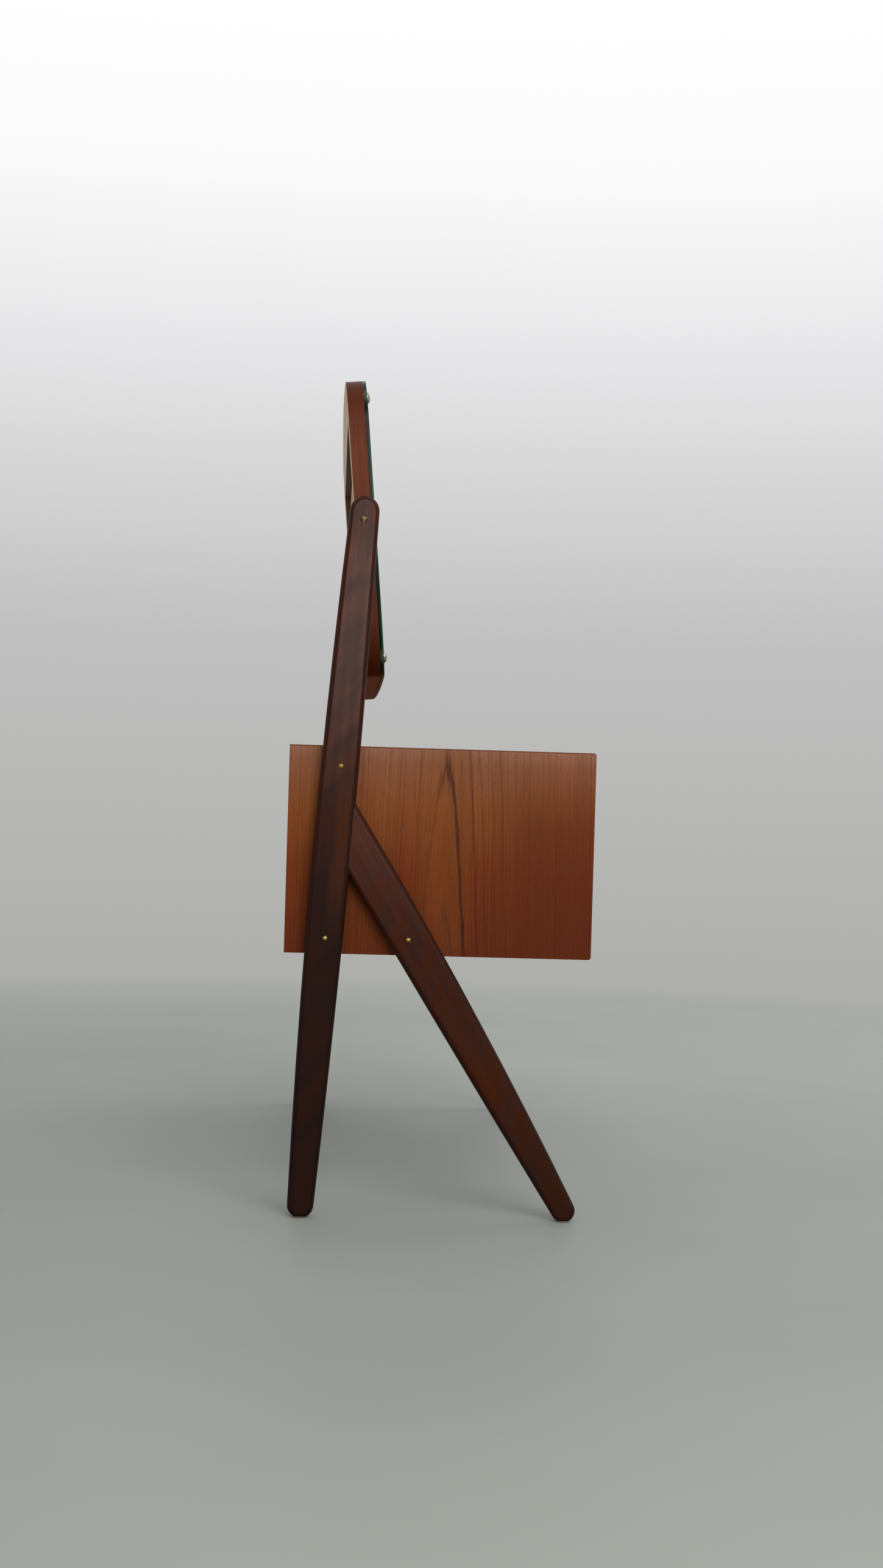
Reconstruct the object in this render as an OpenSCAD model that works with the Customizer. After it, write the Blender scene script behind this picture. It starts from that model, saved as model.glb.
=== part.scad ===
// Kneehole dressing table with five drawers and a swing mirror between two raked uprights.
// Origin on the floor under the middle of the case. +Z up, +Y to the back, -Y to the sitter.

/* [Case] */
// Width of the case over its side panels
case_w = 1000; // [900:10:1100]
// Depth of the case, front edge to back edge
case_d = 450; // [430:5:490]
// Height of the case, underside to top
case_h = 304; // [292:2:330]
// Height of the underside above the floor
case_z = 382; // [360:2:410]
// Thickness of the veneered side and top panels
panel_t = 18; // [16:1:20]
// Radius of the eased corners of the case
ease_r = 4; // [2:0.5:6]
// Thickness of the bottom panel of each pedestal
bottom_t = 15; // [12:1:18]
// Thickness of the back panels
back_t = 6; // [4:1:8]
// Width of the rebate that a back panel sits in
rebate_w = 8; // [6:1:9]
// Width of the kneehole between the pedestals
kneehole_w = 460; // [420:10:500]
// Thickness of the board under the centre drawer
shelf_t = 12; // [10:1:15]
// Thickness of the rail between two drawers
divider_t = 14; // [12:1:18]
// Depth of that rail, front to back
divider_d = 60; // [40:5:90]

/* [Drawers] */
// Height of the opening for each upper drawer
upper_h = 105; // [95:1:115]
// Height of the opening for the centre drawer
centre_h = 76; // [72:1:90]
// How far the drawer fronts stand back from the case's front edges
recess = 18; // [16:1:24]
// Thickness of a drawer front
front_t = 18; // [16:1:20]
// Gap around a drawer front
front_gap = 1.5; // [1:0.25:2]
// Thickness of a drawer side
side_t = 11; // [10:0.5:13]
// Gap between a drawer side and the panel beside it
side_gap = 2; // [1.5:0.25:3]
// How far a drawer side stays below the top of its front
side_drop = 8; // [6:1:12]
// How far a drawer side stays above the bottom of its front
side_rise = 3; // [2:0.5:5]
// Thickness of the back of a drawer box
box_back_t = 11; // [9:0.5:13]
// Thickness of a drawer bottom
box_bottom_t = 4; // [3:0.5:5]
// Height of a drawer bottom above the lower edge of the sides
box_bottom_z = 8; // [6:1:10]
// How deep a drawer bottom is let into the sides and the front
bottom_groove = 4; // [3:0.5:5]
// Space left behind a drawer box when it is shut
rear_gap = 15; // [10:1:25]
// Height of a drawer runner
runner_h = 12; // [10:1:14]
// Depth of the groove in a drawer side that the runner fills
runner_groove = 5; // [4:0.5:6]
// Height of a runner above the lower edge of the drawer sides
runner_z = 30; // [24:1:36]

/* [Handles] */
// Length of a lip handle
handle_l = 130; // [90:5:160]
// Height of a lip handle
handle_h = 22; // [20:1:24]
// How far a lip handle stands out from its drawer front
handle_proud = 18; // [15:0.5:18]
// Thickness of the lip in front of the fingers
lip_t = 7; // [6:0.5:8]
// Thickness of the web over the fingers
web_t = 8; // [6:0.5:9]
// Distance from the top of a drawer front down to its handle
handle_drop = 24; // [18:1:30]

/* [Uprights and legs] */
// Thickness of the uprights and the front legs
leg_t = 26; // [22:1:30]
// Radius of their rounded edges
leg_round = 8; // [4:0.5:9]
// Width of an upright at its top
upright_top_w = 43; // [40:1:50]
// Width of an upright at its foot
upright_foot_w = 38.5; // [34:0.5:44]
// How far the upright's back edge swells out of a straight line
back_swell = 9; // [6:0.5:14]
// How far its front edge swells out
front_swell = 6; // [2:0.5:8]
// Distance from the case's back edge to the middle of the rear foot
rear_foot_in = 35; // [28:1:60]
// Distance from the case's back edge to the mirror's pivot
pivot_in = 98; // [85:1:110]
// Height of the pivot above the case's top
pivot_rise = 328; // [310:2:350]
// Length of the upright above the pivot, up to its apex
upright_past = 35; // [30:1:42]
// Width of a front leg at its foot
leg_foot_w = 35; // [32:0.5:42]
// Width of the leg's blank at its upper end, past the joint
leg_top_w = 60; // [50:1:66]
// How far the leg's upper edge swells out
leg_upper_swell = 9; // [2:0.5:10]
// How far its lower edge swells out
leg_lower_swell = 2; // [0.5:0.5:5]
// Distance from the case's front edge to the middle of the front foot
front_foot_in = 32; // [20:1:60]
// Height of the middle of the leg joint above the case's underside
joint_rise = 166; // [155:1:180]
// Depth of the flat worn under each foot
foot_flat = 1; // [0.5:0.25:2]
// How much thinner a front leg is than the upright, whose rounded edge stands clear of it
leg_step = 2.5; // [0:0.5:4]
// Glue line between a front leg and its upright
glue_gap = 0.1; // [0.05:0.05:0.25]
// Diameter of the dowels in the leg joint
dowel_d = 8; // [6:1:10]
// Length of a dowel
dowel_l = 36; // [28:1:40]
// Distance from the middle of the leg joint down to the upper dowel
dowel_drop = 6; // [0:1:12]
// Distance between the two dowels
dowel_pitch = 28; // [22:1:32]

/* [Screws and caps] */
// Diameter of the screws that hold the legs to the case
screw_d = 5; // [4:0.5:6]
// Length of those screws past the leg, into the side panel
screw_bite = 12; // [9:1:14]
// Diameter of the brass caps over them
cap_d = 8.5; // [8:0.5:12]
// Height of a brass cap
cap_h = 3; // [2:0.25:4]
// Distance from the case's top to the upper caps
cap_from_top = 30; // [24:1:40]
// Distance from the case's underside to the lower caps
cap_from_bottom = 24; // [18:1:32]

/* [Mirror] */
// Gap between the mirror's side and the upright
mirror_gap = 4; // [3:0.25:6]
// Height of the mirror's crown above the pivot
mirror_up = 245; // [235:1:260]
// Depth of the mirror's lower edge below the pivot
mirror_down = 230; // [222:1:245]
// Rise of the arched top across the mirror's width
top_rise = 35; // [20:1:45]
// Drop of the curved lower edge across the width
bottom_rise = 8; // [4:1:20]
// Bow of each side
side_bow = 8; // [4:1:14]
// Radius of the mirror's corners
corner_r = 80; // [60:2:100]
// Thickness of the wooden frame behind the glass
frame_t = 24; // [21:0.5:28]
// Height of the frame's top rail at its middle
top_rail_h = 83; // [76:1:96]
// Height of the frame's bottom rail
bottom_rail_h = 82; // [76:1:96]
// Width of the frame's stiles
stile_w = 85; // [70:1:100]
// Height of the cross rail that the pivots pull on
pivot_rail_h = 140; // [100:2:160]
// Thickness of the board behind the glass
board_t = 3; // [2:0.5:4]
// Thickness of the glass
glass_t = 5.5; // [4:0.5:6]
// Lean of the mirror as photographed, top to the back
mirror_lean = 5.4; // [0:0.2:15]

/* [Mirror fittings] */
// Diameter of the domed heads that clamp the glass
dome_d = 18; // [14:0.5:20]
// Height of a domed head
dome_h = 5; // [4:0.5:6]
// Diameter of the shank behind a domed head
dome_shank_d = 4; // [3:0.5:5]
// Length of that shank, glass included
dome_shank_l = 20; // [16:1:24]
// Distance of the domed heads from the mirror's sides
dome_in = 46; // [42:1:56]
// Distance of the upper domed heads below the crown
dome_top = 56; // [52:1:64]
// Distance of the lower domed heads above the lowest edge
dome_bottom = 34; // [32:1:50]
// Diameter of the pivot screw
pivot_d = 6; // [5:0.5:7]
// Diameter of the pivot screw's head
pivot_head_d = 10; // [9.5:0.5:13]
// Depth of its countersunk head
pivot_head_h = 3; // [2.5:0.25:4]
// How far the head's raised middle stands out
pivot_raise = 1.2; // [0.8:0.2:2]
// Width of the screwdriver slot
slot_w = 1.2; // [1:0.1:1.8]
// Depth of the slot
slot_depth = 1.3; // [0.8:0.1:1.8]
// Outside diameter of the threaded insert in the mirror's stile
insert_d = 10; // [9:0.5:12]
// Length of that insert
insert_l = 18; // [14:1:24]
// Outside diameter of the friction washer
washer_d = 20; // [16:1:26]

/* [Hidden] */
$fn = 48;
// Running fit of the pivot screw, on the radius
run_fit = 0.05;
// Easy fit of a screw, dowel or insert in its hole, on the radius
pin_fit = 0.05;
// Play of a drawer on its runner and of a washer against its neighbours
seat_gap = 0.3;
// Play under a runner, and between the pivot's head and its countersink
loose_gap = 0.5;
// Amount that a cutting tool runs past the surface it cuts
past = 1;

case_top = case_z + case_h;
inner_top = case_top - panel_t;
case_front = -case_d / 2;
case_back = case_d / 2;
back_face = case_back - back_t;
half_w = case_w / 2;
bay_in = kneehole_w / 2 + panel_t;
bay_out = half_w - panel_t;
bay_floor = case_z + bottom_t;
upper_z = inner_top - upper_h;
divider_z = upper_z - divider_t;
centre_z = inner_top - centre_h;
shelf_z = centre_z - shelf_t;

// Openings as [left, right, bottom, top]
upper_bay = [bay_in, bay_out, upper_z, inner_top];
lower_bay = [bay_in, bay_out, bay_floor, divider_z];
centre_bay = [-kneehole_w / 2, kneehole_w / 2, centre_z, inner_top];

front_y = case_front + recess;
box_front = front_y + front_t;
box_back = back_face - rear_gap;
runner_w = side_gap + runner_groove - seat_gap;

// Leg geometry as [Y, Z] points
rear_r = upright_foot_w / 2;
front_r = leg_foot_w / 2;
pivot_z = case_top + pivot_rise;
pivot = [case_back - pivot_in, pivot_z];
rear_foot = [case_back - rear_foot_in, rear_r - foot_flat];
upright_dir = (pivot - rear_foot) / norm(pivot - rear_foot);
upright_top = pivot + upright_dir * (upright_past - upright_top_w / 2);
upright_len = norm(upright_top - rear_foot);
front_dir = [-upright_dir[1], upright_dir[0]];
joint_z = case_z + joint_rise;
joint_s = (joint_z - rear_foot[1]) / upright_dir[1];
joint_out = half_width(joint_s / upright_len, rear_r, upright_top_w / 2, front_swell);
joint = rear_foot + upright_dir * joint_s + front_dir * joint_out;
// Slope of the upright's front edge where the leg meets it
joint_turn = atan((upright_top_w / 2 - rear_r + 4 * front_swell * (1 - 2 * joint_s / upright_len))
    / upright_len);
joint_up = turned(upright_dir, joint_turn);
joint_front = [-joint_up[1], joint_up[0]];
front_foot = [case_front + front_foot_in, front_r - foot_flat];
leg_dir = (joint - front_foot) / norm(joint - front_foot);
leg_len = norm(joint - front_foot);
// The leg's blank runs on past the joint, which cuts it off at a slant
leg_blank = leg_len + 2 * leg_top_w;
cap_high = case_top - cap_from_top;
cap_low = case_z + cap_from_bottom;
// The three screws of one side, on the middle lines of the upright and the leg
upright_screws = [on_line(rear_foot, upright_dir, cap_high), on_line(rear_foot, upright_dir, cap_low)];
leg_screw = on_line(front_foot, leg_dir, cap_low);
front_leg_t = leg_t - leg_step;
// All three again, each with the thickness of its wood
side_screws = [
    for (spot = upright_screws) [spot[0], spot[1], leg_t],
    [leg_screw[0], leg_screw[1], front_leg_t]
];

// Mirror outline, about the pivot
mirror_a = half_w - mirror_gap;
top_radius = bow_radius(mirror_a, top_rise);
bottom_radius = bow_radius(mirror_a, bottom_rise);
side_radius = bow_radius((mirror_up + mirror_down) / 2, side_bow);
top_c = [0, mirror_up - top_radius];
bottom_c = [0, bottom_radius - mirror_down];
side_c = [mirror_a - side_radius, 0];
corner_top = meet(top_c, top_radius - corner_r, side_c, side_radius - corner_r, 1);
corner_bottom = meet(bottom_c, bottom_radius - corner_r, side_c, side_radius - corner_r, -1);
window_x = mirror_a - stile_w;
window_top = mirror_up - top_rail_h;
window_bottom = bottom_rail_h - mirror_down;
dome_spots = [for (x = [-1, 1]) each [
    [x * (mirror_a - dome_in), mirror_up - dome_top],
    [x * (mirror_a - dome_in), dome_bottom - mirror_down]]];

function turned(v, a) = [v[0] * cos(a) - v[1] * sin(a), v[0] * sin(a) + v[1] * cos(a)];
function half_width(f, start, end, swell) = start + (end - start) * f + 4 * swell * f * (1 - f);
function on_line(start, dir, z) = start + dir * (z - start[1]) / dir[1];
function arc(c, r, a0, a1, n) = [for (i = [0:n]) let (a = a0 + (a1 - a0) * i / n) c + r * [cos(a), sin(a)]];
function bow_radius(half_chord, rise) = (half_chord * half_chord + rise * rise) / (2 * rise);
// Where two circles meet; side picks the upper or the lower point
function meet(p, rp, q, rq, side) = let (
    d = norm(q - p),
    u = (q - p) / d,
    along = (d * d + rp * rp - rq * rq) / (2 * d),
    off = sqrt(rp * rp - along * along),
    one = p + u * along + off * [-u[1], u[0]],
    two = p + u * along - off * [-u[1], u[0]])
    (one[1] - two[1]) * side > 0 ? one : two;
function heading(from, to) = atan2(to[1] - from[1], to[0] - from[0]);
function backwards(points) = [for (i = [len(points) - 1:-1:0]) points[i]];
function flipped(points) = [for (p = backwards(points)) [-p[0], p[1]]];

// Right half of the mirror's outline, from the bottom round to the crown
function mirror_half() = let (
    to_bottom = heading(bottom_c, corner_bottom),
    to_side_low = heading(side_c, corner_bottom),
    to_side_high = heading(side_c, corner_top),
    to_top = heading(top_c, corner_top))
    concat(
        arc(bottom_c, bottom_radius, -90, to_bottom, 8),
        arc(corner_bottom, corner_r, to_bottom, to_side_low, 18),
        arc(side_c, side_radius, to_side_low, 0, 4),
        arc(side_c, side_radius, 0, to_side_high, 4),
        arc(corner_top, corner_r, to_side_high, to_top, 18),
        arc(top_c, top_radius, to_top, 90, 12));

// The straight edges of a bar run this many degrees into its round ends
end_lap = 10;
// One edge of a tapered, swelling bar from point a; side is 1 or -1
function bar_edge(a, dir, len, start, end, swell, side) = [for (i = [0:10])
    let (f = i / 10)
    a + dir * len * f + side * half_width(f, start, end, swell) * [-dir[1], dir[0]]];
// Outline of that bar with a round at each end
function bar_outline(a, dir, len, start, end, swell_one, swell_two) = let (
    b = a + dir * len,
    turn = atan2(dir[1], dir[0]))
    concat(
        bar_edge(a, dir, len, start, end, swell_two, -1),
        arc(b, end, turn - 90 + end_lap, turn + 90 - end_lap, 12),
        backwards(bar_edge(a, dir, len, start, end, swell_one, 1)),
        arc(a, start, turn + 90 + end_lap, turn + 270 - end_lap, 12));

teak = "#8f4f2a";
leg_wood = "#3f2820";
rim_wood = "#6b3524";
pale_wood = "#c2a074";
beech = "#c9a272";
brass = "#b79a4a";
nickel = "#b9b5aa";
hardboard = "#3b2114";
green_glass = "#7fa08c";
fibre = "#2b2622";

// Builds a right-hand piece, or its mirror image on the left
module hand(side) {
    mirror([side < 0 ? 1 : 0, 0, 0])
        children();
}

// A block between two opposite corners
module block(low, high) {
    translate(low)
        cube(high - low);
}

// Extrudes an outline of [Y, Z] points between two X planes
module slab(x0, x1) {
    translate([x0, 0, 0])
        rotate([90, 0, 90])
            linear_extrude(x1 - x0)
                children();
}

// Case

// Solid block of the case with its eased top edges and front corners
module case_block() {
    intersection() {
        rotate([90, 0, 0])
            linear_extrude(case_d, center = true)
                polygon(concat(
                    [[half_w, case_z]],
                    arc([half_w - ease_r, case_top - ease_r], ease_r, 0, 90, 5),
                    arc([ease_r - half_w, case_top - ease_r], ease_r, 90, 180, 5),
                    [[-half_w, case_z]]));
        slab(-half_w, half_w)
            polygon(concat(
                [[case_back, case_z], [case_back, case_top]],
                arc([case_front + ease_r, case_top - ease_r], ease_r, 90, 180, 5),
                arc([case_front + ease_r, case_z + ease_r], ease_r, 180, 270, 5)));
    }
}

module side_panel(side) {
    color(teak)
        hand(side)
            difference() {
                intersection() {
                    case_block();
                    rotate([90, 0, 0])
                        linear_extrude(case_d, center = true)
                            polygon([[bay_out, case_z], [half_w, case_z], [half_w, case_top],
                                [bay_out, inner_top]]);
                }
                block([bay_out - past, back_face, case_z - past],
                    [bay_out + rebate_w, case_back + past, inner_top + rebate_w]);
                for (spot = concat(upright_screws, [leg_screw]))
                    translate([half_w - screw_bite, spot[0], spot[1]])
                        rotate([0, 90, 0])
                            cylinder(h = screw_bite + past, r = screw_d / 2 + pin_fit);
            }
}

module top_panel() {
    color(teak)
        difference() {
            intersection() {
                case_block();
                rotate([90, 0, 0])
                    linear_extrude(case_d, center = true)
                        polygon([[-half_w, case_top], [half_w, case_top], [bay_out, inner_top],
                            [-bay_out, inner_top]]);
            }
            block([-bay_out - rebate_w, back_face, inner_top - past],
                [bay_out + rebate_w, case_back + past, inner_top + rebate_w]);
        }
}

module pedestal_inner(side) {
    color(teak)
        hand(side)
            difference() {
                block([kneehole_w / 2, case_front, case_z], [bay_in, case_back, inner_top]);
                block([bay_in - rebate_w, back_face, case_z - past],
                    [bay_in + past, case_back + past, inner_top + past]);
                block([kneehole_w / 2 - past, back_face, shelf_z],
                    [kneehole_w / 2 + rebate_w, case_back + past, inner_top + past]);
            }
}

module bottom_panel(side) {
    color(teak)
        hand(side)
            block([bay_in, case_front, case_z], [bay_out, back_face, bay_floor]);
}

module centre_shelf() {
    color(teak)
        block([-kneehole_w / 2, case_front, shelf_z], [kneehole_w / 2, back_face, centre_z]);
}

module back_panel(side) {
    color(pale_wood)
        hand(side)
            block([bay_in - rebate_w, back_face, case_z],
                [bay_out + rebate_w, case_back, inner_top + rebate_w]);
}

module back_panel_centre() {
    color(pale_wood)
        block([-kneehole_w / 2 - rebate_w, back_face, shelf_z],
            [kneehole_w / 2 + rebate_w, case_back, inner_top + rebate_w]);
}

module divider_rail(side) {
    color(teak)
        hand(side)
            block([bay_in, case_front, divider_z], [bay_out, case_front + divider_d, upper_z]);
}

// One pair of runners in an opening, on the panels at its two sides
module runner_pair(bay) {
    z = bay[2] + front_gap + side_rise + runner_z;
    y0 = box_front + seat_gap;
    block([bay[0], y0, z], [bay[0] + runner_w, back_face, z + runner_h]);
    block([bay[1] - runner_w, y0, z], [bay[1], back_face, z + runner_h]);
}

module runners(side) {
    color(beech)
        hand(side) {
            runner_pair(upper_bay);
            runner_pair(lower_bay);
        }
}

module runners_centre() {
    color(beech)
        runner_pair(centre_bay);
}

// Drawers: each part is drawn for an opening [left, right, bottom, top]

function side_low(bay) = bay[2] + front_gap + side_rise;
function side_high(bay) = bay[3] - front_gap - side_drop;
function bottom_low(bay) = side_low(bay) + box_bottom_z;
function box_left(bay) = bay[0] + side_gap;
function box_right(bay) = bay[1] - side_gap;

module drawer_front(bay) {
    color(teak)
        difference() {
            block([bay[0] + front_gap, front_y, bay[2] + front_gap],
                [bay[1] - front_gap, box_front, bay[3] - front_gap]);
            drawer_bottom_space(bay);
        }
}

// Space that the drawer bottom fills, grooves included
module drawer_bottom_space(bay) {
    block([box_left(bay) + side_t - bottom_groove, box_front - bottom_groove, bottom_low(bay)],
        [box_right(bay) - side_t + bottom_groove, box_back, bottom_low(bay) + box_bottom_t]);
}

module drawer_bottom(bay) {
    color(pale_wood)
        drawer_bottom_space(bay);
}

module drawer_sides(bay) {
    groove_low = side_low(bay) + runner_z - loose_gap;
    groove_high = side_low(bay) + runner_z + runner_h + seat_gap;
    color(beech)
        difference() {
            union() {
                block([box_left(bay), box_front, side_low(bay)],
                    [box_left(bay) + side_t, box_back, side_high(bay)]);
                block([box_right(bay) - side_t, box_front, side_low(bay)],
                    [box_right(bay), box_back, side_high(bay)]);
            }
            drawer_bottom_space(bay);
            block([box_left(bay) - past, box_front - past, groove_low],
                [box_left(bay) + runner_groove, box_back + past, groove_high]);
            block([box_right(bay) - runner_groove, box_front - past, groove_low],
                [box_right(bay) + past, box_back + past, groove_high]);
        }
}

module drawer_back(bay) {
    color(beech)
        block([box_left(bay) + side_t, box_back - box_back_t, bottom_low(bay) + box_bottom_t],
            [box_right(bay) - side_t, box_back, side_high(bay)]);
}

// Lip handle: a web glued to the front, and a lip that hangs before the fingers
module drawer_handle(bay) {
    mid = (bay[0] + bay[1]) / 2;
    high = bay[3] - front_gap - handle_drop;
    low = high - handle_h;
    out = front_y - handle_proud;
    round_r = 5;
    tip_r = lip_t / 2;
    color(rim_wood)
        intersection() {
            slab(mid - handle_l / 2, mid + handle_l / 2)
                polygon(concat(
                    [[front_y, high - web_t], [front_y, high]],
                    arc([out + round_r, high - round_r], round_r, 90, 180, 5),
                    arc([out + tip_r, low + tip_r], tip_r, 180, 360, 8),
                    [[out + lip_t, high - web_t]]));
            translate([mid, front_y, low - past])
                linear_extrude(handle_h + 2 * past)
                    polygon(handle_plan());
        }
}

// Handle seen from above: a shallow bow in front that turns in at both ends
function handle_plan() = let (
    half = handle_l / 2,
    nose = 10,
    bow = 3)
    concat(
        [[half, 0]],
        arc([half - nose, bow - handle_proud + nose], nose, 0, -80, 6),
        [[0, -handle_proud]],
        arc([nose - half, bow - handle_proud + nose], nose, 260, 180, 6),
        [[-half, 0]]);

// Uprights and front legs

// A bar with rounded edges, from a stack of ever smaller outlines of [Y, Z] points
module rounded_bar(points, thick = leg_t) {
    hull()
        for (a = [0:15:90])
            let (half = thick / 2 - leg_round * (1 - cos(a)))
            slab(half_w + thick / 2 - half, half_w + thick / 2 + half)
                offset(delta = leg_round * (sin(a) - 1))
                    polygon(points);
}

// A round hole or pin along X at a [Y, Z] point
module along_x(spot, x0, x1, r) {
    translate([x0, spot[0], spot[1]])
        rotate([0, 90, 0])
            cylinder(h = x1 - x0, r = r);
}

// The dowels of one leg joint, or their holes where grow is over zero
module dowel_pair(grow) {
    for (down = [dowel_drop, dowel_drop + dowel_pitch])
        let (spot = joint - joint_up * down)
        translate([half_w + leg_t / 2, spot[0], spot[1]])
            rotate([atan2(joint_front[1], joint_front[0]) - 90, 0, 0])
                cylinder(h = dowel_l + 2 * grow, r = dowel_d / 2 + grow, center = true);
}

// The upright before drilling, or the space it takes where grow is over zero
module upright_bar(grow) {
    rounded_bar(bar_outline(rear_foot, upright_dir, upright_len, rear_r + grow,
        upright_top_w / 2 + grow, front_swell, back_swell));
}

module upright(side) {
    color(leg_wood)
        hand(side)
            difference() {
                upright_bar(0);
                block([half_w - past, case_front, -rear_r - past], [half_w + leg_t + past, case_back, 0]);
                for (spot = upright_screws)
                    along_x(spot, half_w - past, half_w + leg_t + past, screw_d / 2 + pin_fit);
                along_x(pivot, half_w - past, half_w + leg_t + past, pivot_d / 2 + run_fit);
                pivot_head_cone(loose_gap);
                dowel_pair(pin_fit);
            }
}

// Countersunk head of the pivot screw, or its seat where grow is over zero
module pivot_head_cone(grow) {
    slope = (pivot_head_d - pivot_d) / 2 / pivot_head_h;
    reach = grow > 0 ? past : 0;
    low_r = pivot_d / 2 + run_fit * (grow > 0 ? 1 : 0);
    depth = pivot_head_h + grow;
    translate([half_w + leg_t - depth, pivot[0], pivot[1]])
        rotate([0, 90, 0])
            cylinder(h = depth + reach, r1 = low_r, r2 = low_r + slope * (depth + reach));
}

module front_leg(side) {
    color(leg_wood)
        hand(side)
            difference() {
                rounded_bar(leg_outline(), front_leg_t);
                block([half_w - past, 2 * case_front, -front_r - past],
                    [half_w + leg_t + past, case_back, 0]);
                beyond_joint();
                upright_bar(glue_gap);
                along_x(leg_screw, half_w - past, half_w + leg_t + past, screw_d / 2 + pin_fit);
                dowel_pair(pin_fit);
            }
}

// Outline of the leg's blank, with a round foot and a square upper end
function leg_outline() = let (
    turn = atan2(leg_dir[1], leg_dir[0]),
    half_top = leg_top_w / 2)
    concat(
        bar_edge(front_foot, leg_dir, leg_blank, front_r, half_top, leg_lower_swell, -1),
        backwards(bar_edge(front_foot, leg_dir, leg_blank, front_r, half_top, leg_upper_swell, 1)),
        arc(front_foot, front_r, turn + 90 + end_lap, turn + 270 - end_lap, 12));

// Everything behind the hollow in the leg's end, which fits round the upright's front edge
module beyond_joint() {
    reach = 4 * leg_top_w;
    face = joint - joint_front * leg_round;
    slab(half_w - past, half_w + leg_t + past)
        polygon([
            face - joint_up * reach,
            face + joint_up * reach,
            face + joint_up * reach - joint_front * reach,
            face - joint_up * reach - joint_front * reach]);
}

module leg_dowels() {
    color(beech)
        for (side = [-1, 1])
            hand(side)
                dowel_pair(0);
}

module leg_screws() {
    color(brass)
        for (side = [-1, 1])
            hand(side)
                for (spot = side_screws)
                    along_x(spot, half_w - screw_bite, half_w + spot[2], screw_d / 2);
}

// Domed cap as a turned profile
module dome(d, h) {
    r = bow_radius(d / 2, h);
    rotate_extrude()
        polygon(concat([[0, 0]], arc([0, h - r], r, acos(d / 2 / r) * (r > h ? 1 : -1), 90, 6)));
}

module screw_caps() {
    color(brass)
        for (side = [-1, 1])
            hand(side)
                for (spot = side_screws)
                    translate([half_w + spot[2], spot[0], spot[1]])
                        rotate([0, 90, 0])
                            dome(cap_d, cap_h);
}

// Mirror: drawn upright about the pivot, then leaned back

module leaned() {
    translate([0, pivot[0], pivot[1]])
        rotate([-mirror_lean, 0, 0])
            children();
}

// The mirror's outline as a plate between two depths; -Y is its front
module mirror_plate(y0, y1) {
    translate([0, y1, 0])
        rotate([90, 0, 0])
            linear_extrude(y1 - y0)
                polygon(concat(mirror_half(), flipped(mirror_half())));
}

module frame_piece(low, high) {
    color(rim_wood)
        leaned()
            difference() {
                intersection() {
                    mirror_plate(-frame_t / 2, frame_t / 2);
                    block([low[0], -frame_t, low[1]], [high[0], frame_t, high[1]]);
                }
                mirror_screw_shanks(pin_fit);
            }
}

module mirror_top_rail() {
    frame_piece([-half_w, window_top], [half_w, mirror_up + past]);
}

module mirror_bottom_rail() {
    frame_piece([-half_w, -mirror_down - past], [half_w, window_bottom]);
}

module mirror_stile(side) {
    color(rim_wood)
        hand(side)
            leaned()
                difference() {
                    intersection() {
                        mirror_plate(-frame_t / 2, frame_t / 2);
                        block([window_x, -frame_t, window_bottom], [half_w, frame_t, window_top]);
                    }
                    translate([mirror_a - insert_l, 0, 0])
                        rotate([0, 90, 0])
                            cylinder(h = insert_l + past, r = insert_d / 2 + pin_fit);
                }
}

module mirror_pivot_rail() {
    color(pale_wood)
        leaned()
            block([-window_x, board_t - frame_t / 2, -pivot_rail_h / 2],
                [window_x, frame_t / 2, pivot_rail_h / 2]);
}

module mirror_board() {
    color(hardboard)
        leaned()
            block([-window_x, -frame_t / 2, window_bottom], [window_x, board_t - frame_t / 2, window_top]);
}

module mirror_glass() {
    color(green_glass)
        leaned()
            difference() {
                mirror_plate(-frame_t / 2 - glass_t, -frame_t / 2);
                mirror_screw_shanks(seat_gap);
            }
}

// Shanks of the four glass screws, or their holes where grow is over zero
module mirror_screw_shanks(grow) {
    for (spot = dome_spots)
        translate([spot[0], -frame_t / 2 - glass_t - past * sign(grow), spot[1]])
            rotate([-90, 0, 0])
                cylinder(h = dome_shank_l + past * sign(grow), r = dome_shank_d / 2 + grow);
}

module mirror_screws() {
    color(nickel)
        leaned() {
            mirror_screw_shanks(0);
            for (spot = dome_spots)
                translate([spot[0], -frame_t / 2 - glass_t, spot[1]])
                    rotate([90, 0, 0])
                        dome(dome_d, dome_h);
        }
}

module pivot_inserts() {
    color(brass)
        for (side = [-1, 1])
            hand(side)
                translate([mirror_a - insert_l, pivot[0], pivot[1]])
                    rotate([0, 90, 0])
                        difference() {
                            cylinder(h = insert_l, r = insert_d / 2);
                            translate([0, 0, -past])
                                cylinder(h = insert_l + 2 * past, r = pivot_d / 2 + pin_fit);
                        }
}

module pivot_screws() {
    color(brass)
        for (side = [-1, 1])
            hand(side)
                difference() {
                    union() {
                        along_x(pivot, mirror_a - insert_l, half_w + leg_t - pivot_head_h, pivot_d / 2);
                        pivot_head_cone(0);
                        translate([half_w + leg_t, pivot[0], pivot[1]])
                            rotate([0, 90, 0])
                                dome(pivot_head_d, pivot_raise);
                    }
                    translate([half_w + leg_t + pivot_raise - slot_depth, pivot[0] - slot_w / 2,
                        pivot[1] - pivot_head_d])
                        cube([slot_depth + past, slot_w, 2 * pivot_head_d]);
                }
}

module pivot_washers() {
    color(fibre)
        for (side = [-1, 1])
            hand(side)
                translate([mirror_a + seat_gap, pivot[0], pivot[1]])
                    rotate([0, 90, 0])
                        difference() {
                            cylinder(h = mirror_gap - 2 * seat_gap, r = washer_d / 2);
                            translate([0, 0, -past])
                                cylinder(h = mirror_gap + 2 * past, r = pivot_d / 2 + seat_gap);
                        }
}

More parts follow.
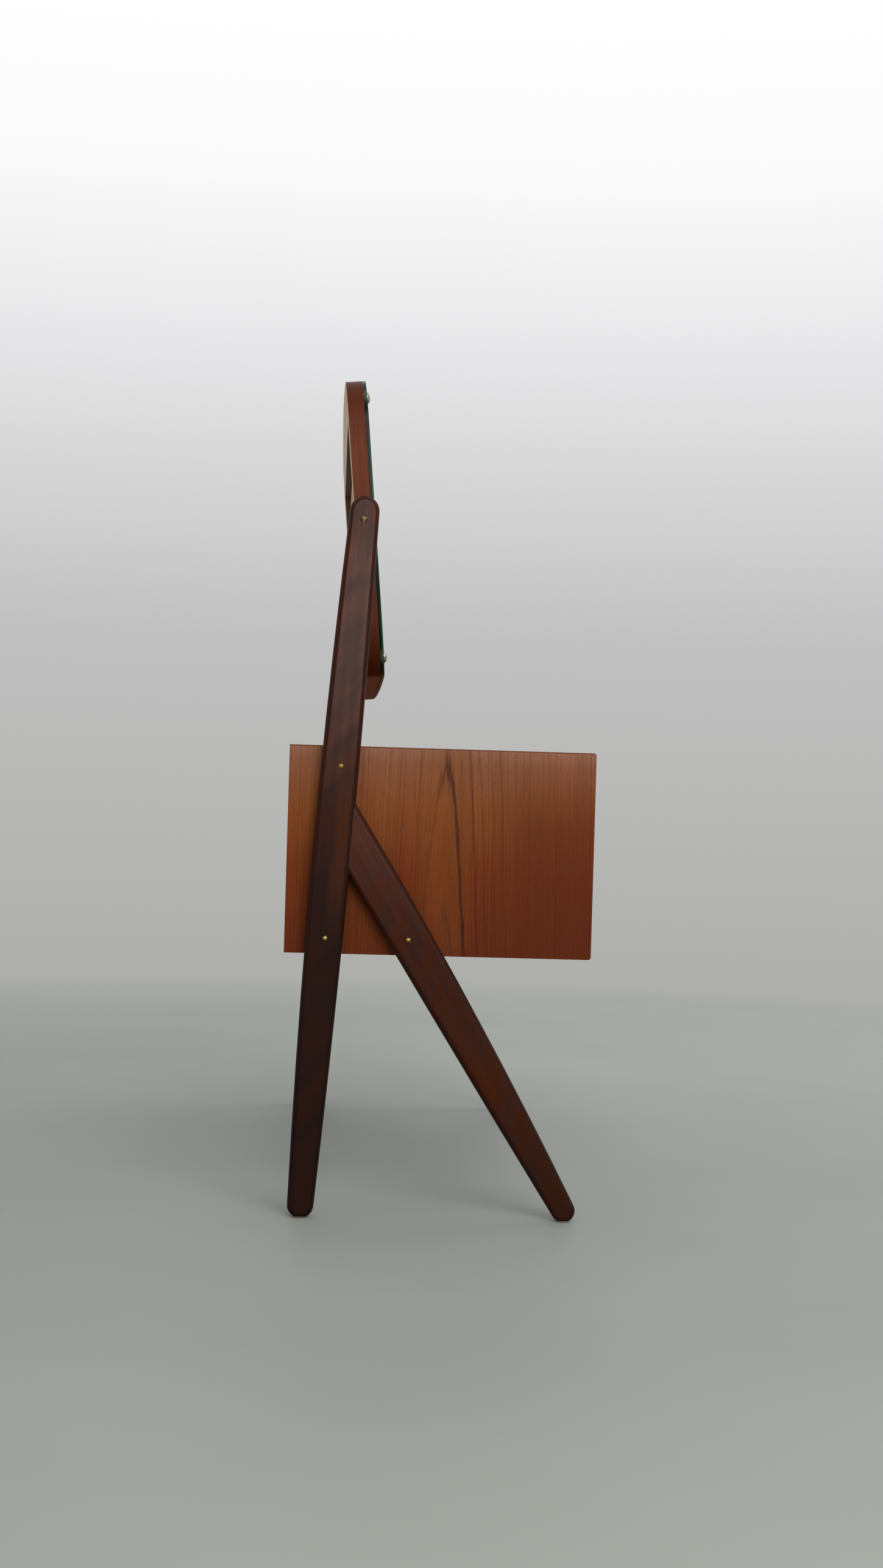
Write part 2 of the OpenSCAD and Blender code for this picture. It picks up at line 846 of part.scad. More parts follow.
side_panel(-1);  // side_panel_left
side_panel(1);  // side_panel_right
top_panel();
pedestal_inner(-1);  // pedestal_inner_left
pedestal_inner(1);  // pedestal_inner_right
bottom_panel(-1);  // bottom_panel_left
bottom_panel(1);  // bottom_panel_right
centre_shelf();
back_panel(-1);  // back_panel_left
back_panel(1);  // back_panel_right
back_panel_centre();
divider_rail(-1);  // divider_rail_left
divider_rail(1);  // divider_rail_right
runners(-1);  // runners_left
runners(1);  // runners_right
runners_centre();
upright(-1);  // upright_left
upright(1);  // upright_right
front_leg(-1);  // front_leg_left
front_leg(1);  // front_leg_right
leg_dowels();
leg_screws();
screw_caps();
pivot_washers();
pivot_screws();
pivot_inserts();
mirror_top_rail();
mirror_bottom_rail();
mirror_stile(-1);  // mirror_stile_left
mirror_stile(1);  // mirror_stile_right
mirror_pivot_rail();
mirror_board();
mirror_glass();
mirror_screws();
hand(-1) drawer_front(upper_bay);  // upper_left_front
hand(-1) drawer_sides(upper_bay);  // upper_left_sides
hand(-1) drawer_back(upper_bay);  // upper_left_back
hand(-1) drawer_bottom(upper_bay);  // upper_left_bottom
hand(-1) drawer_handle(upper_bay);  // upper_left_handle
hand(-1) drawer_front(lower_bay);  // lower_left_front
hand(-1) drawer_sides(lower_bay);  // lower_left_sides
hand(-1) drawer_back(lower_bay);  // lower_left_back
hand(-1) drawer_bottom(lower_bay);  // lower_left_bottom
hand(-1) drawer_handle(lower_bay);  // lower_left_handle
drawer_front(centre_bay);  // centre_front
drawer_sides(centre_bay);  // centre_sides
drawer_back(centre_bay);  // centre_back
drawer_bottom(centre_bay);  // centre_bottom
drawer_handle(centre_bay);  // centre_handle
drawer_front(upper_bay);  // upper_right_front
drawer_sides(upper_bay);  // upper_right_sides
drawer_back(upper_bay);  // upper_right_back
drawer_bottom(upper_bay);  // upper_right_bottom
drawer_handle(upper_bay);  // upper_right_handle
drawer_front(lower_bay);  // lower_right_front
drawer_sides(lower_bay);  // lower_right_sides
drawer_back(lower_bay);  // lower_right_back
drawer_bottom(lower_bay);  // lower_right_bottom
drawer_handle(lower_bay);  // lower_right_handle
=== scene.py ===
from math import radians
import bmesh
import bpy
from mathutils import Matrix, Vector


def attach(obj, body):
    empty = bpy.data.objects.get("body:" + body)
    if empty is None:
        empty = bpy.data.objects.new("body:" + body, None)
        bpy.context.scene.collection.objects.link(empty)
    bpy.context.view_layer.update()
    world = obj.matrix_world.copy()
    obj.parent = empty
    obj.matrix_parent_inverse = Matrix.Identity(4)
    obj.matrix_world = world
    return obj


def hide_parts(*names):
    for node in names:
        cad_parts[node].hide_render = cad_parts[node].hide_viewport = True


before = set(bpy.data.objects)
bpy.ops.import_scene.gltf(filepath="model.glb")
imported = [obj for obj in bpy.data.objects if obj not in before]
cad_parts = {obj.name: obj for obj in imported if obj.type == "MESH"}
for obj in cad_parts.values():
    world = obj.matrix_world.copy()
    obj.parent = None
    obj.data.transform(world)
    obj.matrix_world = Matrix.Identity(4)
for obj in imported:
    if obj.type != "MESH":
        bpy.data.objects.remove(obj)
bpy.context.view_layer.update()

# Viewpoint: straight from the table's left, three metres off and a little over half a metre above
# the floor, with the camera turned slightly to the front and not quite level. Angles are degrees.
MM = 0.001
eye = Vector((-3490, 157.7, 634.3)) * MM
turned_to_front = 2.98
camera_roll = 1.7
focal_px = 3360
photo_h_px = 2576
sensor_mm = 36
camera = bpy.data.objects.new("viewpoint", bpy.data.cameras.new("viewpoint"))
camera.data.sensor_width = sensor_mm
camera.data.lens = sensor_mm * focal_px / photo_h_px
camera.matrix_world = (
    Matrix.Translation(eye)
    @ Matrix.Rotation(radians(-90 - turned_to_front), 4, "Z")
    @ Matrix.Rotation(radians(90), 4, "X")
    @ Matrix.Rotation(radians(camera_roll), 4, "Z")
)
bpy.context.scene.collection.objects.link(camera)
bpy.context.scene.camera = camera
bpy.context.scene.view_settings.view_transform = "Standard"


# Case: top and two sides in teak veneer on board, mitred at the corners, the grain wrapping
# over from side to side. Hand-rubbed oil leaves a satin face, and the edges are eased by hand.
def paint(code):
    """An sRGB hex colour as the linear red, green, blue and alpha that a node takes."""
    parts = [int(code[i:i + 2], 16) / 255 for i in (1, 3, 5)]
    return [c / 12.92 if c <= 0.04045 else ((c + 0.055) / 1.055) ** 2.4 for c in parts] + [1]


def put(tree, kind, links=None, stops=None, **settings):
    """Add a node with its settings, its links or values, and a ramp's colour stops.

    The stops' first two are the ramp's two ends, and those between them come after.
    """
    made = tree.nodes.new(kind)
    for key, value in settings.items():
        setattr(made, key, value)
    for socket, value in (links or {}).items():
        if isinstance(value, bpy.types.NodeSocket):
            tree.links.new(value, made.inputs[socket])
        else:
            made.inputs[socket].default_value = value
    for i, (place, code) in enumerate(stops or []):
        ramp = made.color_ramp.elements
        stop = ramp[i] if i < 2 else ramp.new(place)
        stop.position = place
        stop.color = paint(code)
    return made.outputs[0]


def finish_named(name):
    """A new finish, with its node tree and its shader."""
    made = bpy.data.materials.new(name)
    made.use_nodes = True
    tree = made.node_tree
    return made, tree, tree.nodes["Principled BSDF"]


# Every grain pattern runs along its own Z, with its Y across the face
grain_up = Matrix.Identity(3).to_euler()
grain_wide = Matrix.Rotation(radians(-90), 3, "Y").to_euler()


def teak_veneer(name, grain, shift=(0, 0, 0), crown=-5, apex=651, reddened=0, painted_light_drop=0):
    """Crown-cut teak: fine growth lines about a flame, short open pores, a dull oiled sheen.

    crown is how far across the face the flame stands, and apex how high its tip is, both in mm.
    reddened is the share of red towards the front, and the last argument moves the painted light
    and shade from above as if the piece stood that many metres lower.
    """
    made, tree, skin = finish_named(name)
    place = put(tree, "ShaderNodeTexCoord").node.outputs["Object"]
    wood = put(tree, "ShaderNodeMapping", {"Vector": place, "Rotation": grain, "Location": shift,
                                           "Scale": (1 / MM,) * 3})
    axes = put(tree, "ShaderNodeSeparateXYZ", {"Vector": wood}).node.outputs

    def grain_noise(wide, long, detail=2):
        """Noise stretched along the grain, with a width and a length in mm."""
        size = put(tree, "ShaderNodeMapping", {"Vector": wood,
                                               "Scale": (1 / wide, 1 / wide, 1 / long)})
        return put(tree, "ShaderNodeTexNoise", {"Vector": size, "Scale": 1, "Detail": detail})

    # Painted light and shade: the colour is lighter and paler towards the top, a painted sheen of
    # the light from above with a painted highlight along the top edge, and darker and redder lower
    # down, a painted shade. The ramp goes by metres above the floor.
    height = put(tree, "ShaderNodeSeparateXYZ", {"Vector": place}).node.outputs["Z"]
    height = put(tree, "ShaderNodeMath", {0: height, 1: painted_light_drop}, operation="SUBTRACT")
    colour = put(tree, "ShaderNodeValToRGB", {"Fac": height},
                 [(0.36, "#5d2507"), (0.69, "#8c5f49"), (0.41, "#62290a"), (0.5, "#6c2f0a"),
                  (0.6, "#7d431d"), (0.662, "#814f34")])
    # The leaf was cut 41 mm off the heart of the log, whose rings close in 4.5 in 100 upwards and
    # sway 4 mm to either side
    heart, taper, swing = 41, 0.045, 8
    sway = grain_noise(60, 260, 1)
    across = put(tree, "ShaderNodeMath", {0: sway, 1: swing, 2: axes["Y"]},
                 operation="MULTIPLY_ADD")
    across = put(tree, "ShaderNodeMath", {0: across, 1: crown + swing / 2}, operation="SUBTRACT")
    radius = put(tree, "ShaderNodeCombineXYZ", {"X": across, "Y": heart})
    radius = put(tree, "ShaderNodeVectorMath", {0: radius},
                 operation="LENGTH").node.outputs["Value"]
    # Growth lines 2.5 mm apart, soft bands 22 mm wide, streaks 1.3 mm and fibres 0.6 mm wide
    line_gap = 2.5
    ring = put(tree, "ShaderNodeMath", {0: axes["Z"], 1: taper / 3, 2: radius},
               operation="MULTIPLY_ADD")
    ring = put(tree, "ShaderNodeMath", {0: ring, 1: 1 / line_gap}, operation="MULTIPLY")
    ring = put(tree, "ShaderNodeTexNoise", {"W": ring, "Scale": 1, "Detail": 3, "Roughness": 0.6},
               noise_dimensions="1D")
    band = grain_noise(22, 420)
    streak = grain_noise(1.3, 90)
    fibre = grain_noise(0.6, 22)
    tone = 0
    for layer, share in ((ring, 0.55), (band, 0.35), (streak, 0.2), (fibre, 0.15)):
        tone = put(tree, "ShaderNodeMath", {0: layer, 1: share, 2: tone}, operation="MULTIPLY_ADD")
    tone = put(tree, "ShaderNodeMapRange", {"Value": tone, "From Min": 0.42, "From Max": 0.83,
                                            "To Min": 0.66, "To Max": 1.32})
    # Whole bands run redder or more orange than their neighbours
    warm = grain_noise(34, 300, 1)
    warm = put(tree, "ShaderNodeMapRange", {"Value": warm, "From Min": 0.35, "From Max": 0.65,
                                            "To Min": 0.497, "To Max": 0.502})
    colour = put(tree, "ShaderNodeHueSaturation", {"Hue": warm, "Value": tone, "Color": colour})
    # The oil has darkened and reddened the front part, more and more from 60 mm before the middle
    # to 140 mm
    deep = put(tree, "ShaderNodeMapRange", {"Value": axes["Y"], "From Min": -60, "From Max": -140,
                                            "To Max": reddened}, interpolation_type="SMOOTHSTEP")
    lower = put(tree, "ShaderNodeMapRange", {"Value": height, "From Min": 0.68, "From Max": 0.57})
    deep = put(tree, "ShaderNodeMath", {0: deep, 1: lower}, operation="MULTIPLY")
    colour = put(tree, "ShaderNodeMix", {0: deep, 6: colour, 7: paint("#561f08")},
                 data_type="RGBA").node.outputs[2]
    # Plainer and more orange inside the flame
    inside = put(tree, "ShaderNodeMath", {0: across}, operation="ABSOLUTE")
    inside = put(tree, "ShaderNodeMapRange", {"Value": inside, "From Min": 8, "From Max": 55,
                                              "To Min": 0.3, "To Max": 0},
                 interpolation_type="SMOOTHSTEP")
    colour = put(tree, "ShaderNodeMix", {0: inside, 6: colour, 7: paint("#7b4318")},
                 data_type="RGBA").node.outputs[2]
    # Flame: each late ring darkens slowly on its inner side and stops short on its outer side, with
    # a frayed edge. Its front side is bolder than its back side, which fades downwards.
    grown = put(tree, "ShaderNodeMath", {0: axes["Z"], 1: taper, 2: radius},
                operation="MULTIPLY_ADD")
    grown = put(tree, "ShaderNodeMath", {0: grown, 1: heart + taper * apex}, operation="SUBTRACT")
    frayed = grain_noise(0.9, 40, 1)
    fray_mm = 3.4
    tear = put(tree, "ShaderNodeMath", {0: frayed, 1: fray_mm, 2: grown}, operation="MULTIPLY_ADD")
    back_side = put(tree, "ShaderNodeMapRange", {"Value": across, "From Min": -4, "From Max": 8})
    slow = put(tree, "ShaderNodeMapRange", {"Value": across, "From Min": -3, "From Max": -24,
                                            "To Min": -0.8, "To Max": -2.8})
    line = 0
    # Each ring's place in mm out from the flame's own, and how dark it is
    late_rings = ((-7.8, 0.4), (1.7, 1), (15.9, 0.6), (25.7, 0.35), (38.7, 0.3), (51.7, 0.3))
    for late, share in late_rings:
        early = put(tree, "ShaderNodeMath", {0: slow, 1: late}, operation="ADD")
        dark = put(tree, "ShaderNodeMapRange", {"Value": tear, "From Min": early,
                                                "From Max": late + 0.2, "To Max": share},
                   interpolation_type="SMOOTHSTEP")
        stop = put(tree, "ShaderNodeMapRange", {"Value": tear, "From Min": late + 0.5,
                                                "From Max": late + 1.2, "To Min": 1, "To Max": 0})
        line = put(tree, "ShaderNodeMath", {0: dark, 1: stop, 2: line}, operation="MULTIPLY_ADD")
    falling = put(tree, "ShaderNodeMapRange", {"Value": axes["Z"], "From Min": apex - 190,
                                               "From Max": apex - 20, "To Min": 0.16,
                                               "To Max": 0.42})
    bold = 0.8
    strong = put(tree, "ShaderNodeMix", {0: back_side, 2: bold, 3: falling}, data_type="FLOAT")
    line = put(tree, "ShaderNodeMath", {0: line, 1: strong}, operation="MULTIPLY")
    # A dark spine stands on the flame's tip
    spine = put(tree, "ShaderNodeMath", {0: across}, operation="ABSOLUTE")
    spine = put(tree, "ShaderNodeMapRange", {"Value": spine, "From Min": 6, "From Max": 1},
                interpolation_type="SMOOTHSTEP")
    tip = put(tree, "ShaderNodeMapRange", {"Value": axes["Z"], "From Min": apex - 8,
                                           "From Max": apex + 8, "To Max": 0.36})
    spine = put(tree, "ShaderNodeMath", {0: spine, 1: tip}, operation="MULTIPLY")
    line = put(tree, "ShaderNodeMath", {0: line, 1: spine}, operation="MAXIMUM")
    colour = put(tree, "ShaderNodeMix", {0: line, 6: colour, 7: paint("#2b100a")},
                 data_type="RGBA").node.outputs[2]
    # Dark hairlines a millimetre wide, and open pores half a millimetre wide and 12 mm long. A real
    # pore is half as wide, and is drawn so that it shows.
    hair_dark, pore_dark = 0.34, 0.42
    hair = grain_noise(1, 50, 1)
    hair = put(tree, "ShaderNodeMapRange", {"Value": hair, "From Min": 0.6, "From Max": 0.72,
                                            "To Max": hair_dark})
    pore = grain_noise(0.5, 12, 1)
    pore = put(tree, "ShaderNodeMapRange", {"Value": pore, "From Min": 0.6, "From Max": 0.72})
    shade = put(tree, "ShaderNodeMath", {0: pore, 1: pore_dark, 2: hair}, operation="MULTIPLY_ADD")
    colour = put(tree, "ShaderNodeMix", {0: shade, 6: colour, 7: paint("#34130a")},
                 data_type="RGBA").node.outputs[2]
    # Darker along the eased edges, where the surface faces no one way
    facing = put(tree, "ShaderNodeTexCoord").node.outputs["Normal"]
    facing = put(tree, "ShaderNodeVectorMath", {0: facing}, operation="ABSOLUTE")
    facing = put(tree, "ShaderNodeSeparateXYZ", {"Vector": facing}).node.outputs
    flat = put(tree, "ShaderNodeMath", {0: facing["X"], 1: facing["Y"]}, operation="MAXIMUM")
    flat = put(tree, "ShaderNodeMath", {0: flat, 1: facing["Z"]}, operation="MAXIMUM")
    edge = put(tree, "ShaderNodeMapRange", {"Value": flat, "From Min": 0.97, "From Max": 0.8,
                                            "To Max": 0.75})
    colour = put(tree, "ShaderNodeMix", {0: edge, 6: colour, 7: paint("#33160c")},
                 data_type="RGBA").node.outputs[2]
    rough = put(tree, "ShaderNodeMapRange", {"Value": streak, "To Min": 0.46, "To Max": 0.6})
    dip = put(tree, "ShaderNodeMath", {0: pore, 1: -1, 2: fibre}, operation="MULTIPLY_ADD")
    bump = put(tree, "ShaderNodeBump", {"Height": dip, "Strength": 0.25, "Distance": 0.1 * MM})
    tree.links.new(colour, skin.inputs["Base Color"])
    tree.links.new(rough, skin.inputs["Roughness"])
    tree.links.new(bump, skin.inputs["Normal"])
    skin.inputs["IOR"].default_value = 1.48
    skin.inputs["Specular IOR Level"].default_value = 0.11
    return made


def worked(node, body, finishes, ease=0.6, choose=None, sharp=30, square=None):
    """The node's piece with its edges eased as a maker leaves them.

    ease is the width taken off in mm, and sharp the bend in degrees from which an edge is eased.
    choose picks a finish for a face, and square says which faces keep their edges uneased.
    """
    shape = bmesh.new()
    shape.from_mesh(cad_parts[node].data)
    bmesh.ops.remove_doubles(shape, verts=shape.verts, dist=2e-6)
    bmesh.ops.dissolve_limit(shape, angle_limit=radians(0.2), verts=shape.verts, edges=shape.edges)
    eased = shape.edges.layers.float.new("bevel_weight_edge")
    for face in shape.faces:
        face.smooth = True
        face.material_index = choose(face) if choose else 0
    for edge in shape.edges:
        bent = edge.is_manifold and edge.calc_face_angle(0) > radians(sharp)
        kept = square and any(square(face) for face in edge.link_faces)
        edge[eased] = 1 if bent and not kept else 0
        edge.smooth = not (bent and (kept or not ease))
    mesh = bpy.data.meshes.new(node + "_worked")
    shape.to_mesh(mesh)
    shape.free()
    piece = bpy.data.objects.new(node + "_worked", mesh)
    bpy.context.scene.collection.objects.link(piece)
    for finish in finishes:
        mesh.materials.append(finish)
    if ease:
        soft = piece.modifiers.new("eased_edges", "BEVEL")
        soft.width = ease * MM
        soft.segments = 3
        soft.limit_method = "WEIGHT"
    level = piece.modifiers.new("level_faces", "WEIGHTED_NORMAL")
    level.keep_sharp = True
    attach(piece, body)
    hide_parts(node)


side_teak = teak_veneer("oiled_teak_side", grain_up, reddened=0.6)
far_side_teak = teak_veneer("oiled_teak_far_side", grain_up, (0, 12, 90), 20, 700, 0.5)
top_teak = teak_veneer("oiled_teak_top", grain_wide, (0, 40, 300), 30, 420, painted_light_drop=0.07)
worked("side_panel_left", "table", [side_teak], ease=1)
worked("side_panel_right", "table", [far_side_teak], ease=1)
worked("top_panel", "table", [top_teak], ease=1)

# Pedestals: inner sides, bottoms, the board under the middle drawer and the dividing rails, all
# board veneered in the same teak, with the grain upright on the sides and running wide elsewhere.
inner_teak = teak_veneer("oiled_teak_inner", grain_up, (0, 30, -60), 60, 600)
shelf_teak = teak_veneer("oiled_teak_shelf", grain_wide, (0, -60, 120), -40, 300)
for side in ("left", "right"):
    worked("pedestal_inner_" + side, "table", [inner_teak])
    worked("bottom_panel_" + side, "table", [shelf_teak])
    worked("divider_rail_" + side, "table", [shelf_teak])
worked("centre_shelf", "table", [shelf_teak])


# Back: three panels of birch plywood let into a rebate behind the case, sanded and left bare,
# with the grain of the face running wide.
grain_wide_front = Matrix(((0, 1, 0), (0, 0, 1), (1, 0, 0))).to_euler()


def bare_birch(name, grain, shift=(0, 0, 0), dark="#a17a4e", light="#d6b78a"):
    """Sanded birch: pale, quite matt, with a faint straight figure and silky fibres.

    The figure is 9 mm wide, and the fibres are drawn 0.9 mm wide, coarser than real, to show.
    """
    made, tree, skin = finish_named(name)
    place = put(tree, "ShaderNodeTexCoord").node.outputs["Object"]
    wood = put(tree, "ShaderNodeMapping", {"Vector": place, "Rotation": grain, "Location": shift,
                                           "Scale": (1 / MM,) * 3})
    cloud = put(tree, "ShaderNodeMapping", {"Vector": wood, "Scale": (1 / 9, 1 / 9, 1 / 380)})
    cloud = put(tree, "ShaderNodeTexNoise", {"Vector": cloud, "Scale": 1, "Detail": 3,
                                             "Distortion": 0.2})
    fibre = put(tree, "ShaderNodeMapping", {"Vector": wood, "Scale": (1 / 0.9, 1 / 0.9, 1 / 30)})
    fibre = put(tree, "ShaderNodeTexNoise", {"Vector": fibre, "Scale": 1, "Detail": 2})
    tone = put(tree, "ShaderNodeMath", {0: fibre, 1: 0.4, 2: cloud}, operation="MULTIPLY_ADD")
    tone = put(tree, "ShaderNodeMapRange", {"Value": tone, "From Min": 0.35, "From Max": 1.05})
    colour = put(tree, "ShaderNodeValToRGB", {"Fac": tone}, [(0, dark), (1, light)])
    bump = put(tree, "ShaderNodeBump", {"Height": fibre, "Strength": 0.3, "Distance": 0.1 * MM})
    tree.links.new(colour, skin.inputs["Base Color"])
    tree.links.new(bump, skin.inputs["Normal"])
    skin.inputs["Roughness"].default_value = 0.62
    return made


back_birch = bare_birch("bare_birch_back", grain_wide_front)
for part in ("left", "right", "centre"):
    worked("back_panel_" + part, "table", [back_birch], ease=0.3)


# Runners: two strips of planed beech for each drawer, fixed to the sides of its opening, where
# they fill grooves in the drawer's sides, and rubbed with wax so that it slides.
grain_deep = Matrix(((0, 0, 1), (1, 0, 0), (0, 1, 0))).to_euler()


def waxed_beech(name, grain, shift=(0, 0, 0)):
    """Waxed beech: pinkish and even, a low sheen, and short darker flecks where the rays show.

    The bands are 8 mm wide, and the flecks 0.6 mm wide and 3.5 mm long.
    """
    made, tree, skin = finish_named(name)
    place = put(tree, "ShaderNodeTexCoord").node.outputs["Object"]
    wood = put(tree, "ShaderNodeMapping", {"Vector": place, "Rotation": grain, "Location": shift,
                                           "Scale": (1 / MM,) * 3})
    band = put(tree, "ShaderNodeMapping", {"Vector": wood, "Scale": (1 / 8, 1 / 8, 1 / 400)})
    band = put(tree, "ShaderNodeTexNoise", {"Vector": band, "Scale": 1, "Detail": 2})
    fleck = put(tree, "ShaderNodeMapping", {"Vector": wood, "Scale": (1 / 0.6, 1 / 0.6, 1 / 3.5)})
    fleck = put(tree, "ShaderNodeTexNoise", {"Vector": fleck, "Scale": 1, "Detail": 1})
    fleck = put(tree, "ShaderNodeMapRange", {"Value": fleck, "From Min": 0.58, "From Max": 0.7})
    colour = put(tree, "ShaderNodeValToRGB", {"Fac": band}, [(0.3, "#b98a5c"), (0.7, "#d3ab7c")])
    ray_dark = 0.45
    shade = put(tree, "ShaderNodeMath", {0: fleck, 1: ray_dark}, operation="MULTIPLY")
    colour = put(tree, "ShaderNodeMix", {0: shade, 6: colour, 7: paint("#8a5c3a")},
                 data_type="RGBA").node.outputs[2]
    bump = put(tree, "ShaderNodeBump", {"Height": fleck, "Strength": 0.15, "Distance": 0.05 * MM})
    tree.links.new(colour, skin.inputs["Base Color"])
    tree.links.new(bump, skin.inputs["Normal"])
    skin.inputs["Roughness"].default_value = 0.45
    return made


runner_beech = waxed_beech("waxed_beech_runner", grain_deep)
for part in ("left", "right", "centre"):
    worked("runners_" + part, "table", [runner_beech], ease=0.4)


# Uprights and front legs: solid hardwood, shaped with a spokeshave to a swelling taper, the
# arrises rounded over, stained dark and lacquered satin. The rounds are drawn darker and redder:
# partly the stain, partly a painted shade where they turn from the light.
def stained_hardwood(name, lean, shift, by_height, rounds, figure, red_side=None):
    """Dark stain, darker and redder in the rounds, partly stain and partly painted shade, a thin
    painted highlight where they start, and a satin lacquer.

    lean is the part's slant in degrees, and figure how strong the cloudy figure is. The two ramps
    give the colour on the flats and in the rounds by metres above the floor: the stain, with a
    painted sheen lighter towards the head, a painted shade darker towards the foot, and a painted
    shade deepening the rounds. red_side is where across the grain, in mm, the wood turns redder.
    """
    made, tree, skin = finish_named(name)
    coords = put(tree, "ShaderNodeTexCoord").node.outputs
    place = coords["Object"]
    grain = Matrix.Rotation(radians(lean), 3, "X").to_euler()
    wood = put(tree, "ShaderNodeMapping", {"Vector": place, "Rotation": grain, "Location": shift,
                                           "Scale": (1 / MM,) * 3})

    def grain_noise(wide, long, detail=2, slant=0, wavy=0):
        """Noise stretched along the grain or at a slant to it, with its size in mm."""
        size = put(tree, "ShaderNodeMapping", {"Vector": wood, "Rotation": (radians(slant), 0, 0),
                                               "Scale": (wide, wide, long)}, vector_type="TEXTURE")
        return put(tree, "ShaderNodeTexNoise", {"Vector": size, "Scale": 1, "Detail": detail,
                                                "Distortion": wavy})

    # Cloudy figure 24 mm wide on the slant, darker streaks 9 mm wide, and fibres of 0.7 mm
    cloud = grain_noise(24, 80, 2, 38, 0.3)
    streak = grain_noise(9, 240, 3)
    fibre = grain_noise(0.7, 14)
    height = put(tree, "ShaderNodeSeparateXYZ", {"Vector": place}).node.outputs["Z"]
    # Painted light and shade: the flats are lighter towards the head, a painted sheen of the light
    # from above, and darker towards the foot, a painted shade
    flat = put(tree, "ShaderNodeValToRGB", {"Fac": height}, by_height)
    dark = put(tree, "ShaderNodeMapRange", {"Value": streak, "From Min": 0.62, "From Max": 0.42,
                                            "To Max": 0.22})
    flat = put(tree, "ShaderNodeMix", {0: dark, 6: flat, 7: paint("#1d0f0b")},
               data_type="RGBA").node.outputs[2]
    # Redder heartwood shows on the front half beside the case, and fades out below and above it,
    # at 0.41 and 0.72 m above the floor
    if red_side is not None:
        ragged = 26
        across = put(tree, "ShaderNodeSeparateXYZ", {"Vector": wood}).node.outputs["Y"]
        across = put(tree, "ShaderNodeMath", {0: cloud, 1: ragged, 2: across},
                     operation="MULTIPLY_ADD")
        red = put(tree, "ShaderNodeMapRange", {"Value": across, "From Min": red_side + 18,
                                               "From Max": red_side + 8, "To Max": 0.7})
        for none, full in ((0.41, 0.49), (0.72, 0.6)):
            part = put(tree, "ShaderNodeMapRange", {"Value": height, "From Min": none,
                                                    "From Max": full})
            red = put(tree, "ShaderNodeMath", {0: red, 1: part}, operation="MULTIPLY")
        flat = put(tree, "ShaderNodeMix", {0: red, 6: flat, 7: paint("#42200f")},
                   data_type="RGBA").node.outputs[2]
    # The normal's X is 1 on the flats, falls off over the rounds, and is 0 on the narrow edges
    normal = put(tree, "ShaderNodeSeparateXYZ", {"Vector": coords["Normal"]}).node.outputs
    facing = put(tree, "ShaderNodeMath", {0: normal["X"]}, operation="ABSOLUTE")
    is_round = put(tree, "ShaderNodeMapRange", {"Value": facing, "From Min": 0.998,
                                                "From Max": 0.975})
    off_edge = put(tree, "ShaderNodeMapRange", {"Value": facing, "From Min": 0.1, "From Max": 0.6,
                                                "To Min": 0.3})
    is_round = put(tree, "ShaderNodeMath", {0: is_round, 1: off_edge}, operation="MULTIPLY")
    turned = put(tree, "ShaderNodeValToRGB", {"Fac": height}, rounds)
    colour = put(tree, "ShaderNodeMix", {0: is_round, 6: flat, 7: turned},
                 data_type="RGBA").node.outputs[2]
    # A painted highlight: a thin lighter line where each round starts, most on what faces up to the
    # light and least low down
    round_highlight = put(tree, "ShaderNodeMath", {0: facing, 1: 0.993, 2: 0.006}, operation="COMPARE")
    upper = put(tree, "ShaderNodeMapRange", {"Value": normal["Z"], "From Min": -0.02,
                                             "From Max": 0.03, "To Min": 0.2, "To Max": 0.5})
    round_highlight = put(tree, "ShaderNodeMath", {0: round_highlight, 1: upper}, operation="MULTIPLY")
    highlight_height = put(tree, "ShaderNodeMapRange", {"Value": height, "From Min": 0.3, "From Max": 0.55,
                                            "To Min": 0.1})
    round_highlight = put(tree, "ShaderNodeMath", {0: round_highlight, 1: highlight_height}, operation="MULTIPLY")
    tone = put(tree, "ShaderNodeMath", {0: fibre, 1: 0.12, 2: cloud}, operation="MULTIPLY_ADD")
    tone = put(tree, "ShaderNodeMapRange", {"Value": tone, "From Min": 0.36, "From Max": 0.76,
                                            "To Min": 1 - figure, "To Max": 1 + figure})
    tone = put(tree, "ShaderNodeMath", {0: round_highlight, 1: tone}, operation="ADD")
    # The paler figure is warmer and the darker figure cooler
    warm = put(tree, "ShaderNodeMapRange", {"Value": cloud, "From Min": 0.38, "From Max": 0.62,
                                            "To Min": 0.94, "To Max": 1.07})
    colour = put(tree, "ShaderNodeHueSaturation", {"Saturation": warm, "Value": tone,
                                                   "Color": colour})
    # Filled pores, drawn half a millimetre wide so that they show
    pore = grain_noise(0.5, 6, 1)
    pore = put(tree, "ShaderNodeMapRange", {"Value": pore, "From Min": 0.56, "From Max": 0.7,
                                            "To Max": 0.16})
    colour = put(tree, "ShaderNodeMix", {0: pore, 6: colour, 7: paint("#170805")},
                 data_type="RGBA").node.outputs[2]
    # The lowest millimetres have rubbed bare on the floor
    bare = put(tree, "ShaderNodeMapRange", {"Value": height, "From Min": 2.6 * MM,
                                            "From Max": 1.6 * MM})
    colour = put(tree, "ShaderNodeMix", {0: bare, 6: colour, 7: paint("#a58e6f")},
                 data_type="RGBA").node.outputs[2]
    bump = put(tree, "ShaderNodeBump", {"Height": pore, "Strength": 0.15, "Distance": -0.06 * MM})
    rough = put(tree, "ShaderNodeMapRange", {"Value": cloud, "To Min": 0.34, "To Max": 0.5})
    tree.links.new(colour, skin.inputs["Base Color"])
    tree.links.new(rough, skin.inputs["Roughness"])
    tree.links.new(bump, skin.inputs["Normal"])
    skin.inputs["IOR"].default_value = 1.5
    skin.inputs["Specular IOR Level"].default_value = 0.1
    return made


